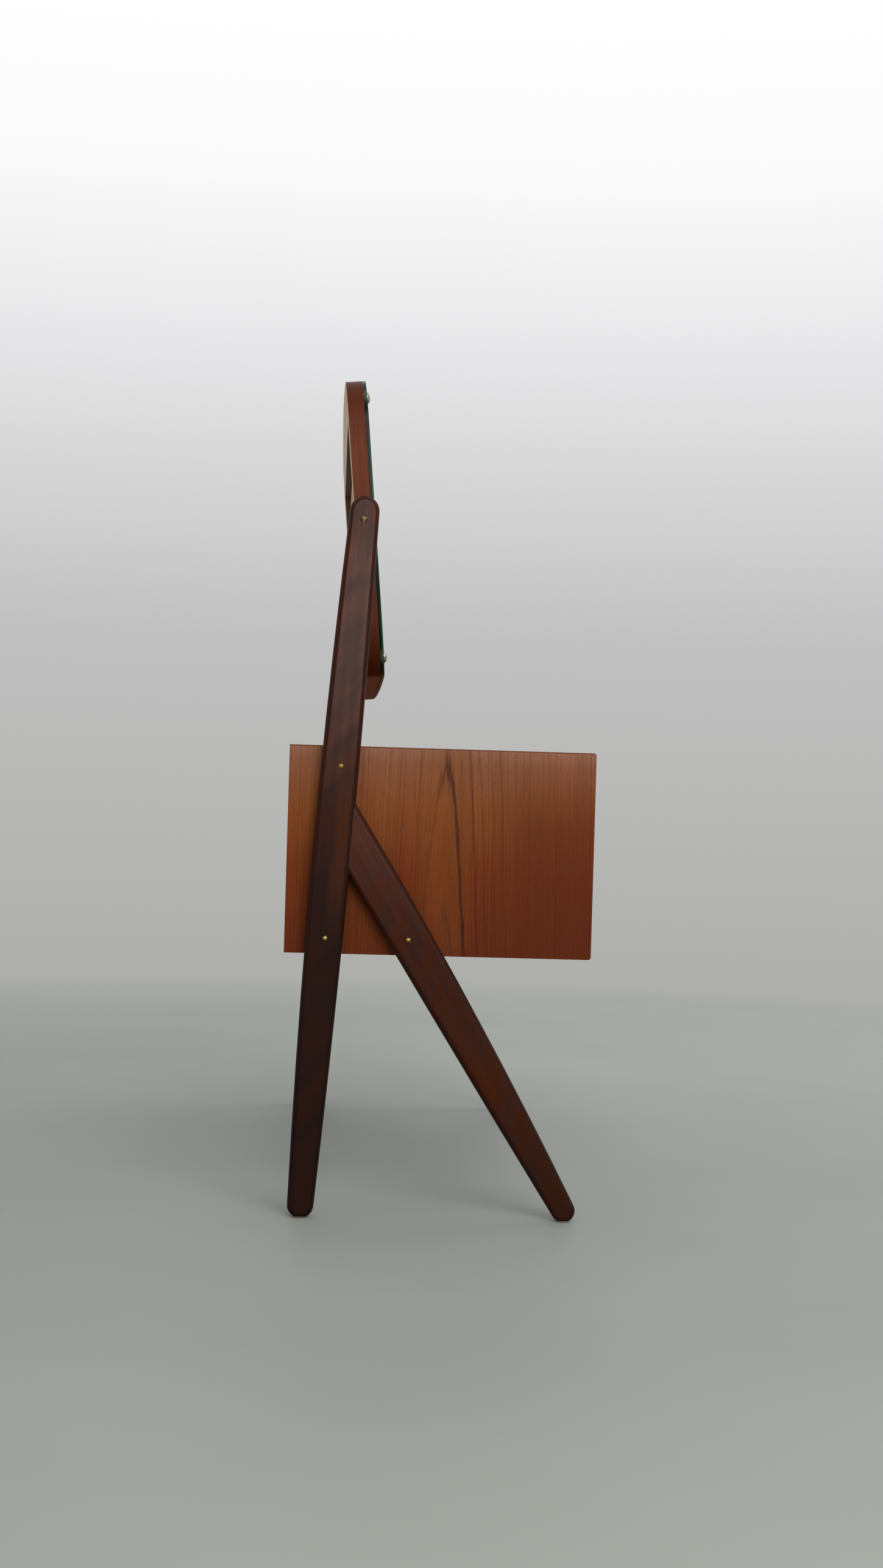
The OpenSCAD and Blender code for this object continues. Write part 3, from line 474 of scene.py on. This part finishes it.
# Slants in degrees. The upright's middle line runs 190.4 mm behind the middle of the table,
# measured square to its slant, and its pattern is shifted 30 mm across.
upright_lean = -3.6
leg_lean = 31.5
upright_line = 190.4
shifted = 30
# The flats' tones by height hold a painted sheen at the head and a painted shade towards the foot,
# and the rounds are drawn darker, partly stain and partly painted shade
upright_tones = [(0, "#260f06"), (1, "#4a322b"), (0.24, "#261007"), (0.46, "#250e07"),
                 (0.6, "#341a12"), (0.7, "#4a2f28"), (0.8, "#543b34"), (0.96, "#573d36")]
upright_rounds = [(0.1, "#1c0c07"), (0.9, "#351509"), (0.4, "#200d07"), (0.65, "#301308")]
leg_tones = [(0, "#301506"), (1, "#4c2b22"), (0.2, "#3f1b09"), (0.4, "#3c1a0d"), (0.48, "#432116"),
             (0.56, "#4c2b22")]
leg_rounds = [(0.05, "#29120a"), (0.5, "#311409")]
for side, along in (("left", 0), ("right", 400)):
    upright_wood = stained_hardwood("stained_upright_" + side, upright_lean, (40, shifted, along),
                                    upright_tones, upright_rounds, 0.27, upright_line + shifted)
    leg_wood = stained_hardwood("stained_front_leg_" + side, leg_lean, (90, -50, along + 150),
                                leg_tones, leg_rounds, 0.16)
    worked("upright_" + side, "table", [upright_wood], 0, sharp=50)
    worked("front_leg_" + side, "table", [leg_wood], 0, sharp=50)


# Fixings hidden in the joints: beech dowels glued into the leg joint, and zinc plated steel
# screws that hold the uprights and legs to the case under the brass caps.
def bare_metal(name, light, dark, rough, patch_mm):
    """Handled metal: a dull shine, broken by darker tarnish in patches and by a very fine grit.

    patch_mm is how wide the patches are. The grit of the polish is finer than it is drawn.
    """
    made, tree, skin = finish_named(name)
    place = put(tree, "ShaderNodeTexCoord").node.outputs["Object"]
    patch = put(tree, "ShaderNodeTexNoise", {"Vector": place, "Scale": 1 / (patch_mm * MM),
                                             "Detail": 4})
    colour = put(tree, "ShaderNodeValToRGB", {"Fac": patch}, [(0.35, dark), (0.65, light)])
    grit_mm = 0.4
    grit = put(tree, "ShaderNodeTexNoise", {"Vector": place, "Scale": 1 / (grit_mm * MM),
                                            "Detail": 2})
    tarnish = 0.12
    matt = put(tree, "ShaderNodeMapRange", {"Value": patch, "To Min": rough + tarnish,
                                            "To Max": rough})
    bump = put(tree, "ShaderNodeBump", {"Height": grit, "Strength": 0.2, "Distance": 0.02 * MM})
    tree.links.new(colour, skin.inputs["Base Color"])
    tree.links.new(matt, skin.inputs["Roughness"])
    tree.links.new(bump, skin.inputs["Normal"])
    skin.inputs["Metallic"].default_value = 1
    return made


dowel_beech = waxed_beech("waxed_beech_dowel", grain_deep)
zinc = bare_metal("zinc_plated_steel", "#a9a8a4", "#8b8a86", 0.38, 3)
for hidden, finish in (("leg_dowels", dowel_beech), ("leg_screws", zinc)):
    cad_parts[hidden].data.materials.clear()
    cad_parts[hidden].data.materials.append(finish)

# Caps: small domes pressed from thin brass and pushed over the screw heads. The brass is yellow
# and worn bright, with browner patches where hands don't reach.
cap_brass = bare_metal("aged_brass_cap", "#b5a25c", "#7a6c36", 0.28, 4)
worked("screw_caps", "table", [cap_brass], ease=0, sharp=60)

# Pivots: slotted raised brass screws that pass through the uprights, gone brown with age, with
# brass inserts in the mirror's stiles. The slot is drawn in brighter brass, a painted glint where
# it catches the light. Washers of dark fibre between upright and stile give the friction.
pivot_brass = bare_metal("brown_brass_pivot", "#6b5838", "#36291c", 0.34, 3)
slot_glint_brass = bare_metal("slot_brass_painted_glint", "#7f6e45", "#544730", 0.36, 2)
# How far behind the table's middle the pivots stand, and just over half the slot's width, in mm
pivot_y = 127
slot_reach = 0.65


def in_slot(face):
    """1 is the floor and walls of the slot, and 0 the rest of the screw."""
    return 1 if abs(face.calc_center_median().y / MM - pivot_y) < slot_reach else 0


worked("pivot_screws", "mirror", [pivot_brass, slot_glint_brass], 0, in_slot, 35)
worked("pivot_inserts", "mirror", [pivot_brass], ease=0.2)

# Vulcanised fibre is near black and quite matt, with a close paper grain of half a millimetre
washer_fibre, tree, skin = finish_named("vulcanised_fibre")
place = put(tree, "ShaderNodeTexCoord").node.outputs["Object"]
weave = put(tree, "ShaderNodeTexNoise", {"Vector": place, "Scale": 1 / (0.5 * MM), "Detail": 3})
colour = put(tree, "ShaderNodeValToRGB", {"Fac": weave}, [(0.3, "#211d1a"), (0.7, "#37302a")])
bump = put(tree, "ShaderNodeBump", {"Height": weave, "Strength": 0.4, "Distance": 0.05 * MM})
tree.links.new(colour, skin.inputs["Base Color"])
tree.links.new(bump, skin.inputs["Normal"])
skin.inputs["Roughness"].default_value = 0.75
worked("pivot_washers", "table", [washer_fibre], ease=0.2)


# Mirror frame: two rails and two stiles of hardwood, glued, the rim shaped to follow the glass and
# stained red-brown, the back sanded and left pale. A cross rail of birch stiffens its middle.
lean_back = 5.4
pivot = Vector((0, pivot_y, 1014)) * MM
behind = Matrix.Rotation(radians(-lean_back), 3, "X") @ Vector((0, 1, 0))
upward = Matrix.Rotation(radians(-lean_back), 3, "X") @ Vector((0, 0, 1))
grain_stile = Matrix.Rotation(radians(lean_back), 3, "X").to_euler()
# The rails meet the stiles this far up from the pivots, in mm
joints_up = (162, -148)
opening_half_wide = 450 * MM
opening_half_high = 165 * MM
# A face looks along an axis where its normal is within about 25 degrees of it
facing = 0.9


def stained_rim(name, grain, shift=(0, 0, 0), darkened=0.85):
    """Stained and waxed hardwood: red-brown, satin, with fine open pores and quiet stripes.

    The stripes are 5 mm wide, and the pores are drawn 0.6 mm wide, coarser than real, to show.
    darkened is how much darker the colour is drawn low down.
    """
    made, tree, skin = finish_named(name)
    place = put(tree, "ShaderNodeTexCoord").node.outputs["Object"]
    wood = put(tree, "ShaderNodeMapping", {"Vector": place, "Rotation": grain, "Location": shift,
                                           "Scale": (1 / MM,) * 3})
    band = put(tree, "ShaderNodeMapping", {"Vector": wood, "Scale": (1 / 5, 1 / 5, 1 / 150)})
    band = put(tree, "ShaderNodeTexNoise", {"Vector": band, "Scale": 1, "Detail": 3})
    pore = put(tree, "ShaderNodeMapping", {"Vector": wood, "Scale": (1 / 0.6, 1 / 0.6, 1 / 9)})
    pore = put(tree, "ShaderNodeTexNoise", {"Vector": pore, "Scale": 1, "Detail": 1})
    pore = put(tree, "ShaderNodeMapRange", {"Value": pore, "From Min": 0.55, "From Max": 0.7,
                                            "To Max": 0.35})
    colour = put(tree, "ShaderNodeValToRGB", {"Fac": band}, [(0.25, "#572716"), (0.75, "#69351d")])
    height = put(tree, "ShaderNodeSeparateXYZ", {"Vector": place}).node.outputs["Z"]
    low = put(tree, "ShaderNodeMapRange", {"Value": height, "From Min": 0.96, "From Max": 0.8,
                                           "To Max": darkened})
    colour = put(tree, "ShaderNodeMix", {0: low, 6: colour, 7: paint("#421a0b")},
                 data_type="RGBA").node.outputs[2]
    # The stain is thin and unwaxed on the underside, and deeper round the top
    down = put(tree, "ShaderNodeTexCoord").node.outputs["Normal"]
    down = put(tree, "ShaderNodeSeparateXYZ", {"Vector": down}).node.outputs["Z"]
    under = put(tree, "ShaderNodeMapRange", {"Value": down, "From Min": -0.97, "From Max": -0.995})
    colour = put(tree, "ShaderNodeMix", {0: under, 6: colour, 7: paint("#8f614a")},
                 data_type="RGBA").node.outputs[2]
    crown = put(tree, "ShaderNodeMapRange", {"Value": height, "From Min": 1.12, "From Max": 1.22,
                                             "To Max": 0.8})
    colour = put(tree, "ShaderNodeMix", {0: crown, 6: colour, 7: paint("#451a08")},
                 data_type="RGBA").node.outputs[2]
    colour = put(tree, "ShaderNodeMix", {0: pore, 6: colour, 7: paint("#2b0f08")},
                 data_type="RGBA").node.outputs[2]
    bump = put(tree, "ShaderNodeBump", {"Height": pore, "Strength": 0.2, "Distance": -0.08 * MM})
    tree.links.new(colour, skin.inputs["Base Color"])
    tree.links.new(bump, skin.inputs["Normal"])
    rough = put(tree, "ShaderNodeMapRange", {"Value": under, "To Min": 0.44, "To Max": 0.8})
    tree.links.new(rough, skin.inputs["Roughness"])
    skin.inputs["IOR"].default_value = 1.5
    skin.inputs["Specular IOR Level"].default_value = 0.07
    return made


def frame_side(face):
    """0 is the rim along the rails, 1 the back, 2 the rim down the sides, 3 the inner edges."""
    if face.normal.dot(behind) > facing:
        return 1
    middle = face.calc_center_median()
    inside_wide = abs(middle.x) < opening_half_wide
    inside_high = abs((middle - pivot).dot(upward)) < opening_half_high
    if inside_wide and inside_high:
        return 3
    side_on = 0.35
    return 2 if abs(face.normal.x) > side_on else 0


def at_joint(face):
    """Whether the face lies in a joint between a rail and a stile, where the edges stay crisp."""
    up = (face.calc_center_median() - pivot).dot(upward) / MM
    return min(abs(up - joint) for joint in joints_up) < 1


rail_stain = stained_rim("stained_rim_rail", grain_wide)
stile_stain = stained_rim("stained_rim_stile", grain_stile)
rail_back = bare_birch("pale_back_rail", grain_wide_front, (0, 20, 0), "#ad9070", "#dfc8a6")
stile_back = bare_birch("pale_back_stile", grain_stile, (0, 70, 0), "#ae9171", "#e0c9a7")
# The inner edges are the same bare wood as the back, drawn brown: a painted shade, for they lie in
# shade inside the frame
shaded_inner_wood = bare_birch("inner_edge_painted_shade", grain_stile, (0, 10, 0), "#55391f", "#765535")
rail_finishes = [rail_stain, rail_back, stile_stain, shaded_inner_wood]
stile_finishes = [stile_stain, stile_back, stile_stain, shaded_inner_wood]
for part, finishes in (("top_rail", rail_finishes), ("bottom_rail", rail_finishes),
                       ("stile_left", stile_finishes), ("stile_right", stile_finishes)):
    worked("mirror_" + part, "mirror", finishes, 0.8, frame_side,
           square=at_joint)
pivot_rail_birch = bare_birch("pale_pivot_rail", grain_wide_front, (0, -90, 0), "#a07a4e",
                              "#c29c6e")
worked("mirror_pivot_rail", "mirror", [pivot_rail_birch])

# Board: a sheet of hardboard let into the frame behind the glass. Its pressed wood fibres are
# brown and matt, cloudy in tone, with a rough felted face of tufts about a millimetre wide.
hardboard, tree, skin = finish_named("brown_hardboard")
place = put(tree, "ShaderNodeTexCoord").node.outputs["Object"]
felt = put(tree, "ShaderNodeTexNoise", {"Vector": place, "Scale": 1 / (1.2 * MM), "Detail": 5})
cloud = put(tree, "ShaderNodeTexNoise", {"Vector": place, "Scale": 1 / (90 * MM), "Detail": 2})
tone = put(tree, "ShaderNodeMath", {0: felt, 1: 0.5, 2: cloud}, operation="MULTIPLY_ADD")
colour = put(tree, "ShaderNodeValToRGB", {"Fac": tone}, [(0.5, "#5f3a1f"), (1, "#7d5434")])
bump = put(tree, "ShaderNodeBump", {"Height": felt, "Strength": 0.4, "Distance": 0.1 * MM})
tree.links.new(colour, skin.inputs["Base Color"])
tree.links.new(bump, skin.inputs["Normal"])
skin.inputs["Roughness"].default_value = 0.7
worked("mirror_board", "mirror", [hardboard], ease=0.3)

# Glass: 5.5 mm float glass, silvered and painted on its back, its edge ground and polished, held
# to the frame by four domed screws. The silver gives a clear reflection with the faintest haze.
silver, tree, skin = finish_named("silvered_glass")
place = put(tree, "ShaderNodeTexCoord").node.outputs["Object"]
haze = put(tree, "ShaderNodeTexNoise", {"Vector": place, "Scale": 1 / (70 * MM), "Detail": 3})
haze = put(tree, "ShaderNodeMapRange", {"Value": haze, "To Min": 0, "To Max": 0.03})
tree.links.new(haze, skin.inputs["Roughness"])
skin.inputs["Base Color"].default_value = paint("#e3e9e6")
skin.inputs["Metallic"].default_value = 1

# The iron in the glass makes its polished edge deep green, greener at the front and nearly black
# against the silver. Both faces are given in mm from the pivots' line.
glass_front = -17.5
glass_back = -12
wobble = 1.4
edge_green, tree, skin = finish_named("polished_green_edge")
place = put(tree, "ShaderNodeTexCoord").node.outputs["Object"]
about = put(tree, "ShaderNodeMapping", {"Vector": place, "Location": -pivot})
thick = put(tree, "ShaderNodeMapping", {"Vector": about, "Rotation": (radians(lean_back), 0, 0),
                                        "Scale": (1 / MM,) * 3})
thick = put(tree, "ShaderNodeSeparateXYZ", {"Vector": thick}).node.outputs
wander = put(tree, "ShaderNodeTexNoise", {"Vector": place, "Scale": 1 / (60 * MM), "Detail": 2})
depth = put(tree, "ShaderNodeMath", {0: wander, 1: wobble, 2: thick["Y"]}, operation="MULTIPLY_ADD")
depth = put(tree, "ShaderNodeMapRange", {"Value": depth, "From Min": glass_front,
                                         "From Max": glass_back + wobble / 2})
colour = put(tree, "ShaderNodeValToRGB", {"Fac": depth},
             [(0, "#1b3f2c"), (0.22, "#195237"), (0.45, "#0d3020"), (0.7, "#040a07")])
# Painted light: the green is drawn brighter in bands where the edge catches the daylight, and
# elsewhere it stays near black
glow = put(tree, "ShaderNodeMath", {0: wander, 1: 40, 2: thick["Z"]}, operation="MULTIPLY_ADD")
glow = put(tree, "ShaderNodeMapRange", {"Value": glow, "From Min": -210, "From Max": 265})
glow = put(tree, "ShaderNodeValToRGB", {"Fac": glow},
           [(0, "#17482a"), (1, "#080f0b"), (0.14, "#124027"), (0.23, "#0a1712"),
            (0.44, "#0a1812"), (0.56, "#0f3d28"), (0.68, "#0d3422"), (0.78, "#08150f")])
core = put(tree, "ShaderNodeMapRange", {"Value": depth, "From Min": 0.66, "From Max": 0.45,
                                        "To Max": 0.96})
colour = put(tree, "ShaderNodeMix", {0: core, 6: colour, 7: glow},
             data_type="RGBA").node.outputs[2]
# The holes for the domed screws, this far up from the pivots, show through as paler patches
dome_up = (189, -196)
for up in dome_up:
    hole = put(tree, "ShaderNodeMath", {0: thick["Z"], 1: up}, operation="SUBTRACT")
    hole = put(tree, "ShaderNodeMath", {0: hole}, operation="ABSOLUTE")
    hole = put(tree, "ShaderNodeMapRange", {"Value": hole, "From Min": 12, "From Max": 2,
                                            "To Max": 0.5})
    colour = put(tree, "ShaderNodeMix", {0: hole, 6: colour, 7: paint("#566350")},
                 data_type="RGBA").node.outputs[2]
# The underside was only ground, so it is frosted
under = put(tree, "ShaderNodeTexCoord").node.outputs["Normal"]
under = put(tree, "ShaderNodeSeparateXYZ", {"Vector": under}).node.outputs["Z"]
under = put(tree, "ShaderNodeMapRange", {"Value": under, "From Min": -0.97, "From Max": -0.995})
frosted = put(tree, "ShaderNodeMapRange", {"Value": under, "To Min": 0.22, "To Max": 0.85})
tree.links.new(frosted, skin.inputs["Roughness"])
silvered = put(tree, "ShaderNodeMapRange", {"Value": depth, "From Min": 0.8, "From Max": 0.7})
under = put(tree, "ShaderNodeMath", {0: under, 1: silvered}, operation="MULTIPLY")
colour = put(tree, "ShaderNodeMix", {0: under, 6: colour, 7: paint("#858c7c")},
             data_type="RGBA").node.outputs[2]
tree.links.new(colour, skin.inputs["Base Color"])
skin.inputs["IOR"].default_value = 1.52
skin.inputs["Specular IOR Level"].default_value = 0.1

# Brushed paint over the silver: near black, dull, with specks 2 mm apart
back_paint, tree, skin = finish_named("mirror_back_paint")
place = put(tree, "ShaderNodeTexCoord").node.outputs["Object"]
speck = put(tree, "ShaderNodeTexNoise", {"Vector": place, "Scale": 1 / (2 * MM), "Detail": 3})
colour = put(tree, "ShaderNodeValToRGB", {"Fac": speck}, [(0.3, "#141514"), (0.7, "#212220")])
tree.links.new(colour, skin.inputs["Base Color"])
skin.inputs["Roughness"].default_value = 0.5
skin.inputs["Specular IOR Level"].default_value = 0.15


def glass_side(face):
    """0 is the silvered front, 1 the edge all round and 2 the painted back."""
    through = face.normal.dot(behind)
    if through < -facing:
        return 0
    return 2 if through > facing else 1


worked("mirror_glass", "mirror", [silver, edge_green, back_paint], 0.5, glass_side)

# Mirror screws: four domes turned from brass with their screws and nickel plated, screwed through
# the glass into the rails. The plating is bright but a little yellow and dull in patches.
nickel = bare_metal("worn_nickel", "#bdb8aa", "#8f897b", 0.2, 6)
dome_x = 450
# Half outline of a dome and its screw in mm: radius, and height off the glass
dome_side = [(0, 5), (1.9, 4.9), (3.8, 4.55), (5.5, 3.95), (7, 3.1), (8, 2.2), (8.7, 1.45),
             (9, 0.8), (9, 0.3), (8.8, 0), (2, 0), (2, -18.5), (0, -20)]
steps = 40
turn = [Matrix.Rotation(radians(360 * i / steps), 3, behind) @ upward for i in range(steps)]
shape = bmesh.new()
for x in (-dome_x, dome_x):
    for up in dome_up:
        seat = pivot + Vector((x, 0, 0)) * MM + upward * up * MM + behind * glass_front * MM
        rings = []
        for r, out in dome_side:
            at = seat - behind * out * MM
            spots = [at + t * r * MM for t in turn] if r else [at]
            rings.append([shape.verts.new(spot) for spot in spots])
        for a, b in zip(rings, rings[1:]):
            for i in range(steps):
                j = (i + 1) % steps
                corners = [a[i % len(a)], a[j % len(a)], b[j % len(b)], b[i % len(b)]]
                shape.faces.new(list(dict.fromkeys(corners)))
bmesh.ops.recalc_face_normals(shape, faces=shape.faces)
mesh = bpy.data.meshes.new("turned_domes")
shape.to_mesh(mesh)
shape.free()
mesh.shade_smooth()
mesh.set_sharp_from_angle(angle=radians(50))
mesh.materials.append(nickel)
domes = bpy.data.objects.new("turned_domes", mesh)
bpy.context.scene.collection.objects.link(domes)
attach(domes, "mirror")
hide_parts("mirror_screws")

# Drawers: teak veneered fronts with the grain running wide, sides and backs of planed and waxed
# beech, thin birch bottoms in grooves, and a shaped lip of stained hardwood glued on to pull by.
# How far along the leaf each front is cut, in mm
front_places = {"upper_left": 0, "lower_left": 140, "centre": 260, "upper_right": 420,
                "lower_right": 560}
handle_stain = stained_rim("stained_lip", grain_wide, (0, 55, 30), darkened=0.45)
side_beech = waxed_beech("waxed_beech_sides", grain_deep, (20, 10, 0))
back_beech = waxed_beech("waxed_beech_backs", grain_wide_front, (50, 0, 0))
bottom_birch = bare_birch("bare_birch_bottoms", grain_wide, (0, 33, 0))
for drawer, along in front_places.items():
    body = drawer + "_drawer"
    front_teak = teak_veneer("oiled_teak_" + drawer, grain_wide_front, (0, 0, along), 560,
                             260 + along)
    worked(drawer + "_front", body, [front_teak], ease=0.8)
    worked(drawer + "_sides", body, [side_beech], ease=0.5)
    worked(drawer + "_back", body, [back_beech], ease=0.5)
    worked(drawer + "_bottom", body, [bottom_birch], ease=0.2)
    worked(drawer + "_handle", body, [handle_stain], ease=1, sharp=40)

# Floor and light: a pale smooth painted floor that fades into a pale surround, one large soft lamp
# high on the camera's side, a weaker one in front, and an even light from all round.
floor_r = 3.3
fade_from = 2
fade_to = 3.2
bpy.ops.mesh.primitive_circle_add(vertices=96, radius=floor_r, fill_type="NGON")
floor = bpy.context.object
floor.name = "floor"
pale_floor, tree, skin = finish_named("pale_painted_floor")
place = put(tree, "ShaderNodeTexCoord").node.outputs["Object"]
cloud = put(tree, "ShaderNodeTexNoise", {"Vector": place, "Scale": 1.2, "Detail": 3})
reach = put(tree, "ShaderNodeVectorMath", {0: place}, operation="LENGTH").node.outputs["Value"]
colour = put(tree, "ShaderNodeValToRGB", {"Fac": cloud}, [(0.3, "#939891"), (0.7, "#9a9f98")])
# Painted light: the floor is drawn paler towards its far side, as if nearer the daylight
far_side_light = put(tree, "ShaderNodeSeparateXYZ", {"Vector": place}).node.outputs["X"]
far_side_light = put(tree, "ShaderNodeMapRange", {"Value": far_side_light, "From Min": -1.2, "From Max": 1.8,
                                         "To Min": 0.87, "To Max": 1.26})
colour = put(tree, "ShaderNodeHueSaturation", {"Value": far_side_light, "Color": colour})
fade = put(tree, "ShaderNodeMapRange", {"Value": reach, "From Min": fade_from, "From Max": fade_to,
                                        "To Min": 1, "To Max": 0}, interpolation_type="SMOOTHSTEP")
tree.links.new(colour, skin.inputs["Base Color"])
tree.links.new(fade, skin.inputs["Alpha"])
skin.inputs["Roughness"].default_value = 0.6
floor.data.materials.append(pale_floor)

world = bpy.data.worlds.new("surround")
bpy.context.scene.world = world
world.use_nodes = True
tree = world.node_tree
# The camera and the mirror see the surround's own colours, and the table gets an even light
# from all round
rays = put(tree, "ShaderNodeLightPath").node.outputs
seen = rays["Is Camera Ray"]
for ray in ("Is Transmission Ray", "Is Glossy Ray"):
    seen = put(tree, "ShaderNodeMath", {0: seen, 1: rays[ray]}, operation="MAXIMUM")
lighting = put(tree, "ShaderNodeBackground", {"Color": paint("#f4f5f6"), "Strength": 0.6})
# The surround is pale grey at the horizon and white overhead
rise = put(tree, "ShaderNodeTexCoord").node.outputs["Generated"]
rise = put(tree, "ShaderNodeSeparateXYZ", {"Vector": rise}).node.outputs["Z"]
rise = put(tree, "ShaderNodeMapRange", {"Value": rise, "From Min": -0.15, "From Max": 0.35})
sky = put(tree, "ShaderNodeValToRGB", {"Fac": rise},
          [(0.1, "#adaeaa"), (1, "#ffffff"), (0.26, "#b7b7b5"), (0.44, "#c1c0c1"),
           (0.62, "#dad9da"), (0.7, "#e5e4e6"), (0.86, "#f9f9fa")])
showing = put(tree, "ShaderNodeBackground", {"Color": sky, "Strength": 1})
mixed = put(tree, "ShaderNodeMixShader", {0: seen, 1: lighting, 2: showing})
tree.links.new(mixed, tree.nodes["World Output"].inputs["Surface"])

middle_of_table = Vector((0, 0, 0.6))
for name, place, width, power in (("key_lamp", (-2.7, -0.6, 2), 1.8, 50),
                                  ("front_lamp", (1.2, -2.4, 2.4), 2, 22)):
    lamp = bpy.data.objects.new(name, bpy.data.lights.new(name, "AREA"))
    lamp.data.size = width
    lamp.data.energy = power
    # The mirror faces the front lamp, which would show in it as a white square
    lamp.visible_glossy = name != "front_lamp"
    lamp.location = place
    lamp.rotation_euler = (middle_of_table - lamp.location).to_track_quat("-Z", "Y").to_euler()
    bpy.context.scene.collection.objects.link(lamp)
